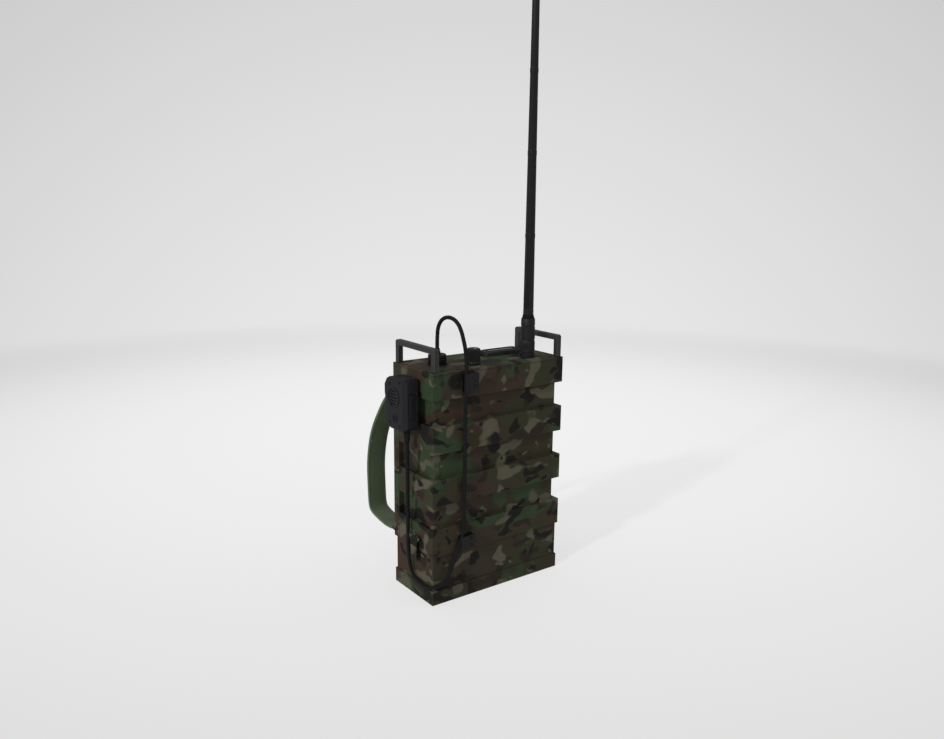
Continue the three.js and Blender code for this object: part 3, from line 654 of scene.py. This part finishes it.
def relief_profile(height, wide, narrow, rings):
    """A flexible sleeve: rings with slots between them, tapering to the lead."""
    profile = [(0, 0), (wide, 0)]
    pitch = height / (rings + 0.5)
    for i in range(rings):
        z = pitch * (i + 0.5)
        radius = wide + (narrow - wide) * z / height
        profile += [(radius, z), (radius - 0.7, z + 0.2 * pitch), (radius - 0.7, z + 0.45 * pitch),
                    (radius - 0.1, z + 0.6 * pitch)]
    return [*profile, (narrow, height - 0.5), (narrow - 0.4, height), (0, height)]


def make_lead():
    points = smooth_line([Vector(p) * MM for p in LEAD_ROUTE], 2.5 * MM)
    bm = bmesh.new()
    tube(bm, points, LEAD_DIAMETER / 2, 16)
    lead = finish_piece("lead", bm, "rubber", None, ["handset_cord"], sharp=60)

    foot, radius, height = round_node("audio_plug")
    grip = height - PLUG_GRIP  # the grip's underside
    profile = [(0, 0), (5.6, 0), (5.6, grip - 0.4), (radius - 0.8, grip), (radius, grip + 0.8),
               (radius, grip + 3.2)]
    for i in range(4):
        z = grip + 3.2 + i * 0.9
        profile += [(radius, z), (radius, z + 0.5), (radius - 0.5, z + 0.55), (radius - 0.5, z + 0.85)]
    profile += [(radius, height - 2.4), (radius - 0.3, height - 1.2), (radius - 1.0, height - 0.3),
                (radius - 1.7, height), (0, height)]
    plug = turned("plug_body", profile, 144, upright(foot), "black_plastic", "case", ["audio_plug"],
                  flutes=36, flute_depth=0.55, fluted=(grip + 0.7, grip + 3.3))

    foot, _, height = round_node("plug_strain_relief")
    relief = turned("plug_sleeve", relief_profile(height, 4.6, 3.3, 3), 40, upright(foot), "rubber", "case",
                    ["plug_strain_relief"])

    foot, _, height = round_node("handset_strain_relief")
    hanging = upright(foot + Vector((0, 0, height * MM))) @ Matrix.Rotation(math.pi, 4, "X")
    turned("handset_sleeve", relief_profile(height, 4.8, 3.4, 5), 40, hanging, "rubber", "handset",
           ["handset_strain_relief"])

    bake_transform(lead)


make_lead()

# Screws


def screw_mesh():
    """A pan head of radius 1 with a cross recess, its underside at z 0."""
    bm = bmesh.new()
    lathe(bm, [(0, -0.3), (0.55, -0.3), (0.55, 0), (0.97, 0), (1.0, 0.12), (0.97, 0.26), (0.86, 0.42),
               (0.62, 0.53), (0.3, 0.58), (0, 0.59)], 40, Matrix.Identity(4))
    head = make_object("head", bm)
    bm = bmesh.new()
    slot = Matrix.Translation((0, 0, 0.55)) @ Matrix.Diagonal((1.15, 0.2, 0.62, 1))
    for turn in (0, math.pi / 2):
        bmesh.ops.create_cube(bm, size=1.0, matrix=Matrix.Rotation(turn, 4, "Z") @ slot)
    cutter = make_object("cutter", bm)
    cross = head.modifiers.new("cross", "BOOLEAN")
    cross.operation, cross.solver, cross.use_self, cross.object = "DIFFERENCE", "EXACT", True, cutter
    bpy.context.view_layer.update()
    made = bpy.data.meshes.new_from_object(head.evaluated_get(bpy.context.evaluated_depsgraph_get()))
    for helper in (head, cutter):
        bpy.data.objects.remove(helper, do_unlink=True)
    return made


SCREW = screw_mesh()
# Where the screws are and the radius of their heads, in millimetres
PANEL_SCREWS_X, PANEL_SCREWS_Y = (-84, 88), (-37, 38)
MOUNT_SCREWS_X, MOUNT_SCREWS_Z = (75, 98), (276.3, 68.2)
MOUNT_FACE_Y = 47.8
CLIP_SCREWS_IN, CLIP_SCREWS_RISE = 5.6, (-4.6, 4.6)  # from the clip's right side, and from its middle
HANDSET_SCREWS_YZ = ((-10, 286), (13, 281), (-10, 230.5), (14, 232))
HEADS = {"panel": 2.4, "display": 1.3, "clip": 2.0, "mount": 1.4, "handset": 1.8}


def screw(point, direction, use):
    """A screw's place at a random turn, from its head's point and direction."""
    turn = Matrix.Rotation(random.uniform(0, 3), 4, "Z")
    return facing(point, direction) @ turn @ Matrix.Scale(HEADS[use] * MM, 4)


def make_screws(name, places, body):
    """The screws of one body in one piece."""
    bm = bmesh.new()
    for where in places:
        one = SCREW.copy()
        one.transform(where)
        bm.from_mesh(one)
    finish_piece(name, bm, "steel", body, sharp=30, material=BLACKENED)


def make_fixings():
    random.seed(7)
    low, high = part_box("display_housing")
    places = [screw((x * MM, y * MM, PANEL_TOP), (0, 0, 1), "panel")
              for x in PANEL_SCREWS_X for y in PANEL_SCREWS_Y]
    places += [screw((x, y, high.z - 0.15 * MM), (0, 0, 1), "display")
               for x in (low.x + 3 * MM, high.x - 3 * MM) for y in (low.y + 4.5 * MM, high.y - 3.5 * MM)]
    for clip in ("upper_cord_clip", "lower_cord_clip"):
        low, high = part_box(clip)
        middle = (low.z + high.z) / 2
        places += [screw((high.x - CLIP_SCREWS_IN * MM, low.y, middle + rise * MM), (0, -1, 0), "clip")
                   for rise in CLIP_SCREWS_RISE]
    places += [screw((side * x * MM, MOUNT_FACE_Y * MM, z * MM), (0, 1, 0), "mount")
               for side in (-1, 1) for x in MOUNT_SCREWS_X for z in MOUNT_SCREWS_Z]
    make_screws("case_screws", places, "case")
    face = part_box("handset_outer_shell")[0].x + 0.1 * MM
    make_screws("handset_screws", [
        screw((face, y * MM, z * MM), (-1, 0, 0), "handset") for y, z in HANDSET_SCREWS_YZ], "handset")


make_fixings()

# Knob and its scale


def white_print():
    material, tree = new_material("white_print")
    wear = noise(tree, place(tree), 900, 4.0, 0.7)
    base = mix(tree, step_up(tree, wear, 0.60, 0.72), (0.55, 0.54, 0.50), (0.16, 0.15, 0.13))
    return cover(material, Base_Color=base, Roughness=spread(tree, wear, 0.5, 0.8))


WHITE = white_print()
KNOB_BORE = 5  # its radius, in millimetres
SCALE_TICKS = 11
SCALE_STEP = 30  # degrees from one tick to the next


def make_knob():
    foot, radius, height = round_node("volume_knob")
    body = [(0, 4), (KNOB_BORE, 4), (KNOB_BORE, 0), (radius + 0.6, 0), (radius + 0.6, 1.6), (radius, 2.6)]
    body += [(radius, 2.6 + i * (height - 5) / 6) for i in range(1, 7)]
    body += [(radius - 0.5, height - 1.5), (radius - 1.7, height - 0.8), (radius - 2.3, height - 0.8),
             (radius - 2.6, height - 1.3), (0, height - 1.3)]
    shaft_boss = [(3.1, 4.0), (3.1, 1.0), (4.4, 1.0), (4.4, 4.2), (3.1, 4.2), (3.1, 4.0)]
    bm = bmesh.new()
    lathe(bm, body, 144, upright(foot), flutes=18, flute_depth=1.0, fluted=(2.5, height - 2.3))
    lathe(bm, shaft_boss, 32, upright(foot))
    finish_piece("knob", bm, "black_plastic", "volume", ["volume_knob"])

    bm = bmesh.new()
    rounded_box(bm, foot + Vector((-0.55, 1.9 - radius, height - 1.5)) * MM,
                foot + Vector((0.55, -1, height - 0.7)) * MM, 0.2 * MM, 2)
    finish_piece("knob_pointer", bm, "black_plastic", "volume", material=WHITE)

    bm = bmesh.new()
    panel = Vector((foot.x, foot.y, PANEL_TOP + 0.04 * MM))
    for i in range(SCALE_TICKS):
        turn = Matrix.Rotation(math.radians(-90 - SCALE_STEP * i), 4, "Z")
        size = (2.6, 0.7, 0.16) if i % 5 == 0 else (1.7, 0.5, 0.16)
        tick = Matrix.Translation((radius + 2.6, 0, 0)) @ Matrix.Diagonal((*size, 1))
        bmesh.ops.create_cube(bm, size=1.0, matrix=upright(panel) @ turn @ tick)
    finish_piece("knob_scale", bm, "black_plastic", "case", material=WHITE)


make_knob()

# Antenna

PIVOT = 45  # the ball's centre above the top panel, in millimetres
CUP_RADIUS, BALL_RADIUS = 6.6, 6.3
WHIP_FOOT = 6.8  # the whip's radius above the boot
COLLARS = (0.27, 0.53, 0.78)  # where they are along the whip


def arc(radius, start, end, steps, middle):
    """Points of a lathe profile round (0, middle), from an angle to an angle in degrees."""
    angles = [math.radians(start + (end - start) * i / steps) for i in range(steps + 1)]
    return [(radius * math.cos(a), middle + radius * math.sin(a)) for a in angles]


def make_antenna():
    foot, radius, height = round_node("antenna_base")
    panel = Vector((foot.x, foot.y, PANEL_TOP))  # heights here are above this, in millimetres
    under = (foot.z - panel.z) / MM
    rim = under + height
    outside = [(0, under), (4, under), (4, -0.2), (radius, 0.3), (radius, 6.5), (radius - 0.8, 7),
               (radius - 0.8, 8.4), (radius, 8.9), *((radius, z) for z in (10, 14, 18, 22)),
               (radius - 0.9, 23), (radius - 0.9, 24.2), (radius - 0.1, 24.9), (radius - 0.3, rim - 11),
               (radius - 0.9, rim - 10.4), (radius - 0.9, rim - 9.6), (radius - 0.3, rim - 9),
               (radius - 0.5, rim - 1), (radius - 1.2, rim)]
    cup = [(6.7, rim), (5.4, rim - 5.2), *arc(CUP_RADIUS, 30, -60, 6, PIVOT), (0, PIVOT - CUP_RADIUS)]
    turned("antenna_sleeve", outside + cup, 120, upright(panel), "dark_plastic", "case", ["antenna_base"],
           flutes=30, flute_depth=0.45, fluted=(9.5, 22.2))

    whip_low, whip_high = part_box("antenna_whip")
    end = (whip_high.z - panel.z) / MM
    cap_foot, cap, cap_height = round_node("antenna_tip")
    tip = cap - 0.6
    start = rim + 3
    ball = arc(BALL_RADIUS, -90, 46, 9, PIVOT)[1:]
    profile = [(0, (whip_low.z - panel.z) / MM), *ball, (4.9, start - 2), (WHIP_FOOT - 0.8, start - 0.9),
               (WHIP_FOOT, start - 0.3), (WHIP_FOOT, start + 9), (WHIP_FOOT - 0.35, start + 9.4),
               (WHIP_FOOT - 0.35, start + 10)]

    def whip_radius(z):
        return WHIP_FOOT + (tip - WHIP_FOOT) * (z - rim) / (end - rim)

    profile.append((whip_radius(start + 11), start + 10.4))
    for share in COLLARS:
        z = start + (end - start) * share
        here = whip_radius(z)
        profile += [(here, z - 6), (here + 0.3, z - 5.4), (here + 0.3, z), (here - 0.15, z + 0.5),
                    (here - 0.15, z + 1), (here, z + 1.3)]
    profile += [(tip, end - 0.4), (tip - 0.4, end), (0, end)]
    turned("whip", profile, 48, upright(panel), "dark_plastic", "antenna", ["antenna_whip"])

    x, y, top = panel.x, panel.y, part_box("antenna_base")[1].z
    hug = WHIP_FOOT + 0.08
    boot = [(hug, 0.05), (8.2, 0.05), (8.4, 0.4), (8.3, 0.8)]
    for i in range(3):  # three ribs, each narrower than the one below
        z, wide = 1.2 + 1.35 * i, 8.1 - 0.4 * i
        boot += [(wide - 0.7, z), (wide - 0.1, z + 0.45), (wide - 0.1, z + 0.75)]
    boot += [(hug + 0.35, 5.1), (hug + 0.1, 5.3), (hug, 5.2), (hug, 0.05)]
    sleeve = turned("antenna_boot", boot, 64, upright((x, y, top)), "rubber", None)
    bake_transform(sleeve)

    profile = [(0, 0), (cap - 0.3, 0), (cap, 0.4), (cap, 2.6), (cap - 0.5, 3), (cap - 0.5, 3.8), (cap, 4.3),
               *arc(cap, 0, 90, 8, cap_height - cap)[:-1], (0, cap_height)]
    turned("whip_cap", profile, 40, upright(cap_foot), "rubber", "antenna", ["antenna_tip"])


make_antenna()

# Handset details

KEY_RIBS = 7


def ring_profile(inner, outer, low, high, soft):
    """The closed section of a ring with rounded edges, for a lathe whose ends meet."""
    corners = [(inner, low), (outer, low), (outer, high), (inner, high)]
    loop = [tuple(p) for p in fillet(corners, soft, 3)]
    return [*loop, loop[0]]


def make_handset():
    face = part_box("handset_outer_shell")[0].x
    bm = bmesh.new()
    for node, ring, sides in (("handset_speaker", (11.6, 13.4, -0.4, 0.9, 0.5), 72),
                              ("handset_microphone", (4.4, 5.6, -0.4, 0.7, 0.35), 48)):
        middle = middle_of(node)
        lathe(bm, ring_profile(*ring), sides, facing((face, middle.y, middle.z), (-1, 0, 0)) @ IN_MM)
    finish_piece("handset_rims", bm, "dark_plastic", "handset")

    low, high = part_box("ptt_button")
    lip = 1.4 * MM
    bm = bmesh.new()
    rounded_box(bm, (low.x + lip, low.y, low.z + lip), (high.x - lip, high.y, high.z - lip), 1.2 * MM, 4)
    rounded_box(bm, (low.x, high.y - lip, low.z), (high.x, high.y, high.z), 0.3 * MM, 2)
    middle = (low.x + high.x) / 2
    reach = (high.x - low.x) / 2 - lip - 1.0 * MM
    for i in range(KEY_RIBS):
        z = low.z + lip + (high.z - low.z - 2 * lip) * (i + 1.5) / (KEY_RIBS + 2)
        rounded_box(bm, (middle - reach, low.y - 0.45 * MM, z - 0.7 * MM),
                    (middle + reach, low.y + 0.6 * MM, z + 0.7 * MM), 0.45 * MM, 3)
    finish_piece("ptt_key", bm, "rubber", "ptt", ["ptt_button"])


make_handset()

# Latch pins


def make_latch_pins():
    for side in ("left", "right"):
        low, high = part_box(f"{side}_latch_pin")
        half = (high.y - low.y) / 2 / MM
        radius = (high.x - low.x) / 2 / MM
        end = [(radius, half + 0.25), (1.85, half + 0.25), (1.75, half + 0.7), (1.2, half + 1.05),
               (0, half + 1.15)]
        turned(f"{side}_pin", [(r, -z) for r, z in reversed(end)] + end, 28,
               facing((low + high) / 2, (0, 1, 0)) @ IN_MM, "steel", "case", [f"{side}_latch_pin"])


make_latch_pins()

# Display bezel

# Its outward reach from the window's edge, and its height above the housing, in millimetres
BEZEL_SECTION = ((0, -0.5), (0, 0.35), (0.25, 0.6), (1.3, 0.6), (1.6, 0.3), (1.6, -0.5))


def make_bezel():
    low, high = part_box("display_window")
    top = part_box("display_housing")[1].z
    left, right, near, far = low.x - 0.3 * MM, high.x + 0.3 * MM, low.y - 0.3 * MM, high.y + 0.3 * MM
    corners = [(left, near), (right, near), (right, far), (left, far)]
    inner = fillet(corners, 1.2 * MM, 5)
    centre = middle_of("display_window")
    bm = bmesh.new()
    rings = []
    for grow, height in BEZEL_SECTION:
        rings.append([
            bm.verts.new((p.x + math.copysign(grow * MM, p.x - centre.x),
                          p.y + math.copysign(grow * MM, p.y - centre.y), top + height * MM))
            for p in inner
        ])
    for first, second in zip(rings, [*rings[1:], rings[0]]):
        bridge(bm, first, second)
    finish_piece("display_bezel", bm, "black_plastic", "case")


make_bezel()

# Shoulder straps

STRAP_LINE = [
    (53.3, 270.5), (58.5, 266), (69, 255.5), (80.2, 243), (89.5, 231.5), (98.5, 219), (107, 206.5),
    (113.8, 194), (118.8, 182), (122.2, 170.5), (125, 158), (126.8, 146), (127.4, 133), (127, 120),
    (126.4, 107), (125.6, 94), (124.4, 83.5), (121, 75.8), (114, 71.8), (104, 69.2), (92, 67), (80, 65.6),
    (68, 65.8), (58, 67.6), (53.4, 69.8),
]  # the outer face's y and z, in millimetres
STRAP_THICKNESS = 5 * MM
STRAP_BARS = ((51.4, 272), (51.4, 72.5))  # y and z of the mounts' bars, in millimetres
BAR_RADIUS = 1.8 * MM
WEB_THICKNESS = 1.3 * MM
WEB_LAP = 30 * MM  # how far the webbing's ends are sewn along the strap
PAD_START = 5 * MM
PAD_HALF, SEWN_HALF = 2.5 * MM, 1.35 * MM  # half the pad's thickness, and where the webbing is sewn on
PAD_SWELL = 22 * MM  # the length over which it goes from one to the other
BAND_STEP, WEB_STEP = 2.5 * MM, 1.2 * MM  # from one row of the mesh to the next
THREAD_RADIUS, THREAD_SUNK = 0.24 * MM, 0.15 * MM
EDGE_STITCH, WEB_STITCH = 3.1 * MM, 2.4 * MM  # from one stitch to the next
EDGE_SEAM, WEB_SEAM = 10.9 * MM, 9.6 * MM  # from the strap's middle line


class StrapPath:
    """The strap's middle line in Y and Z, with its outward normal, by length along it."""

    def __init__(self):
        outer = smooth_line([Vector((0, y, z)) * MM for y, z in STRAP_LINE], 2 * MM)
        ahead = tangents(outer)
        self.ahead = ahead
        self.out = [Vector((0, -t.z, t.y)) for t in ahead]
        self.points = [point - out * STRAP_THICKNESS / 2 for point, out in zip(outer, self.out)]
        self.at = [0.0]
        for a, b in zip(self.points, self.points[1:]):
            self.at.append(self.at[-1] + (b - a).length)
        self.length = self.at[-1]

    def place(self, distance):
        distance = min(max(distance, 0.0), self.length)
        i = 1
        while self.at[i] < distance:
            i += 1
        share = (distance - self.at[i - 1]) / (self.at[i] - self.at[i - 1])
        return tuple(row[i - 1].lerp(row[i], share) for row in (self.points, self.ahead, self.out))


PATH = StrapPath()


def pad_half(distance):
    """Half the padded strap's thickness: thinner where the webbing is sewn on."""
    from_end = min(distance, PATH.length - distance) - WEB_LAP
    share = min(max(from_end / PAD_SWELL + 0.5, 0.0), 1.0)
    return SEWN_HALF + (PAD_HALF - SEWN_HALF) * share * share * (3 - 2 * share)


def band(bm, weave, rows, section):
    """A closed band, from rows of (point, outward way, distance, scale) and a section of (x, height)."""
    rings = []
    for point, out, distance, scale in rows:
        ring = []
        for across, height in section:
            vert = bm.verts.new(point + Vector((across, 0, 0)) + out * height * scale)
            vert[weave] = (distance, across, height * scale)
            ring.append(vert)
        rings.append(ring)
    for first, second in zip(rings, rings[1:]):
        bridge(bm, first, second)
    for ring in (rings[0], list(reversed(rings[-1]))):
        half = len(ring) // 2
        for i in range(half - 1):  # a strip of faces closes the end, top to bottom
            bm.faces.new((ring[i], ring[i + 1], ring[-2 - i], ring[-1 - i]))


def mirrored(half, height=1.0):
    """A band's closed section, from the right half of its top in millimetres and shares of a height."""
    top = [(x * MM, share * height) for x, share in half]
    upper = [(-x, h) for x, h in reversed(top)] + top
    return upper + [(x, -h) for x, h in reversed(upper)]


# A crowned middle, a seam and a bound edge
PAD_SECTION = mirrored([(2, 1.0), (6, 0.96), (9.5, 0.86), (11.2, 0.72), (11.7, 0.72), (12.1, 0.88),
                        (12.9, 0.86), (13.6, 0.62), (14, 0.25)])
WEB_SECTION = mirrored([(4, 1.0), (11, 1.0), (12.1, 0.9), (12.5, 0.3)], WEB_THICKNESS / 2)


def web_rows(end):
    """The webbing's route at one end: along the outer face, round the bar, back along the inner face."""
    bar = Vector((0, *STRAP_BARS[end])) * MM
    along = [WEB_LAP - i * 5 * MM for i in range(6)]

    def on_strap(distance, side):
        at = distance if end == 0 else PATH.length - distance
        point, _, out = PATH.place(at)
        return point + out * side * (pad_half(at) + WEB_THICKNESS * 0.45)

    _, into, out = PATH.place(0 if end == 0 else PATH.length)
    into = into if end == 0 else -into
    reach = BAR_RADIUS + WEB_THICKNESS / 2
    wrap = [bar + (out * math.cos(a) - into * math.sin(a)) * reach
            for a in (math.radians(d) for d in range(20, 161, 28))]
    route = [on_strap(d, 1) for d in along] + wrap + [on_strap(d, -1) for d in reversed(along)]
    points = smooth_line(route, WEB_STEP)
    rows = []
    distance = 0.0
    for i, (point, ahead) in enumerate(zip(points, tangents(points))):
        distance += (point - points[i - 1]).length if i else 0.0
        rows.append((point, Vector((0, -ahead.z, ahead.y)), distance, 1.0))
    return rows


def stitch(bm, middle, along, out, length):
    """One stitch: a thread lying on the cloth, its ends sunk in."""
    side = along.cross(out).normalized()
    start = bm.verts.new(middle - along * length / 2 - out * THREAD_SUNK)
    end = bm.verts.new(middle + along * length / 2 - out * THREAD_SUNK)
    rings = []
    for share in (-0.28, 0.28):
        centre = middle + along * length * share
        rings.append([bm.verts.new(centre + THREAD_RADIUS * (side * math.cos(a) + out * math.sin(a)))
                      for a in (math.pi / 3 * k for k in range(6))])
    bridge(bm, [start], rings[0])
    bridge(bm, rings[0], rings[1])
    bridge(bm, rings[1], [end])


def stitch_row(bm, middle_x, start, end, side, lift, pitch):
    """Stitches from (distance, across) to (distance, across) on the strap's outer or inner face."""
    start, end = Vector(start), Vector(end)
    count = max(1, round((end - start).length / pitch))
    for i in range(count):
        here = start.lerp(end, (i + 0.5) / count)
        point, ahead, out = PATH.place(here.x)
        way = (end - start).normalized()
        along = ahead * way.x + Vector((1, 0, 0)) * way.y
        middle = point + Vector((middle_x + here.y, 0, 0)) + out * side * lift(here.x)
        stitch(bm, middle, along.normalized(), out * side, pitch * 0.72)


def make_strap(name):
    middle_x = middle_of(f"{name}_shoulder_strap").x
    bm = bmesh.new()
    weave = bm.verts.layers.float_vector.new("weave")
    shift = Vector((middle_x, 0, 0))
    rows = []
    count = round((PATH.length - 2 * PAD_START) / BAND_STEP)
    for i in range(count + 1):
        distance = PAD_START + (PATH.length - 2 * PAD_START) * i / count
        point, _, out = PATH.place(distance)
        ends = min(distance - PAD_START, PATH.length - PAD_START - distance) / (1.5 * MM)
        rows.append((point + shift, out, distance, pad_half(distance) * min(1.0, 0.55 + 0.45 * ends)))
    band(bm, weave, rows, PAD_SECTION)
    strap = finish_piece(f"{name}_strap", bm, "webbing", "case", [f"{name}_shoulder_strap"], sharp=50)

    bm = bmesh.new()
    weave = bm.verts.layers.float_vector.new("weave")
    for end in (0, 1):
        band(bm, weave, [(p + shift, o, d, s) for p, o, d, s in web_rows(end)], WEB_SECTION)
    finish_piece(f"{name}_strap_ends", bm, "webbing", "case", sharp=50, material=WEB)

    bm = bmesh.new()
    lap = WEB_LAP - 3 * MM
    for side in (-1, 1):
        for x in (-EDGE_SEAM, EDGE_SEAM):
            stitch_row(bm, middle_x, (WEB_LAP + 1 * MM, x), (PATH.length - WEB_LAP - 1 * MM, x), side,
                       lambda d: pad_half(d) * 0.76, EDGE_STITCH)

        def on_web(d):
            return pad_half(d) + WEB_THICKNESS * 0.92

        x = WEB_SEAM
        for near, far in ((8 * MM, lap), (PATH.length - 8 * MM, PATH.length - lap)):
            for start, end in (((near, -x), (far, -x)), ((far, -x), (far, x)), ((far, x), (near, x)),
                               ((near, x), (near, -x)), ((near, -x), (far, x)), ((near, x), (far, -x))):
                stitch_row(bm, middle_x, start, end, side, on_web, WEB_STITCH)
    finish_piece(f"{name}_strap_stitches", bm, "webbing", "case", sharp=80, material=THREAD)


def thread():
    material, tree = new_material("thread")
    here = place(tree)
    twist = noise(tree, here, 1800)
    base = mix(tree, twist, (0.13, 0.165, 0.095), (0.26, 0.31, 0.19))
    return cover(material, Base_Color=base, Roughness=spread(tree, twist, 0.6, 0.9),
                 Normal=bump(tree, twist, 0.0001, 0.5), Sheen_Weight=0.3)


def woven(name, tone, pitch, along_stripe):
    """Woven nylon: ribs of yarn across the strap, over and under, with paler rubbed ridges and painted shade
    in the hollows between them.
    """
    material, tree = new_material(name)
    weave = add(tree, "Attribute", attribute_name="weave").outputs["Vector"]
    parts = add(tree, "SeparateXYZ", {0: weave})
    along, across = parts.outputs["X"], parts.outputs["Y"]
    waves = [math_node(tree, "SINE", times(tree, way, math.pi / step))
             for way, step in ((along, pitch), (across, pitch * 0.8))]
    plait = step_up(tree, times(tree, *waves), -0.9, 0.9)
    yarn = noise(tree, stretch(tree, weave, (1.0, 6.0, 1.0)), 700, 3.0, 0.6)
    here = place(tree)
    cloud = noise(tree, here, 38, 5.0, 0.6)
    grime = step_up(tree, noise(tree, here, 22, 4.0, 0.6), 0.55, 0.75)
    pale = toned(tone, 1.28)
    # The plait pales the rubbed ridges and darkens the hollows between them as painted shade.
    base = mix(tree, plait, toned(tone, 0.72), pale)
    base = mix(tree, times(tree, yarn, 0.5), base, tone)
    base = mix(tree, times(tree, cloud, 0.35), base, pale)
    base = mix(tree, times(tree, grime, 0.35), base, toned(tone, 0.6))
    edge = step_up(tree, math_node(tree, "ABSOLUTE", across), along_stripe, along_stripe + 0.0004)
    base = mix(tree, times(tree, edge, 0.45), base, toned(tone, 1.35))
    height = math_node(tree, "ADD", plait, times(tree, yarn, 0.4))
    return cover(material, Base_Color=base, Roughness=spread(tree, yarn, 0.72, 0.95),
                 Normal=bump(tree, height, pitch * 0.28, 0.8), Sheen_Weight=0.25, Sheen_Roughness=0.5,
                 Specular_IOR_Level=0.3)


STRAP_TONE = (0.140, 0.192, 0.106)
MATERIALS["webbing"] = woven("padded_webbing", STRAP_TONE, 1.5 * MM, 11.9 * MM)
WEB = woven("narrow_webbing", toned(STRAP_TONE, 0.85), 1.2 * MM, 11.6 * MM)
THREAD = thread()
for side in ("left", "right"):
    make_strap(side)
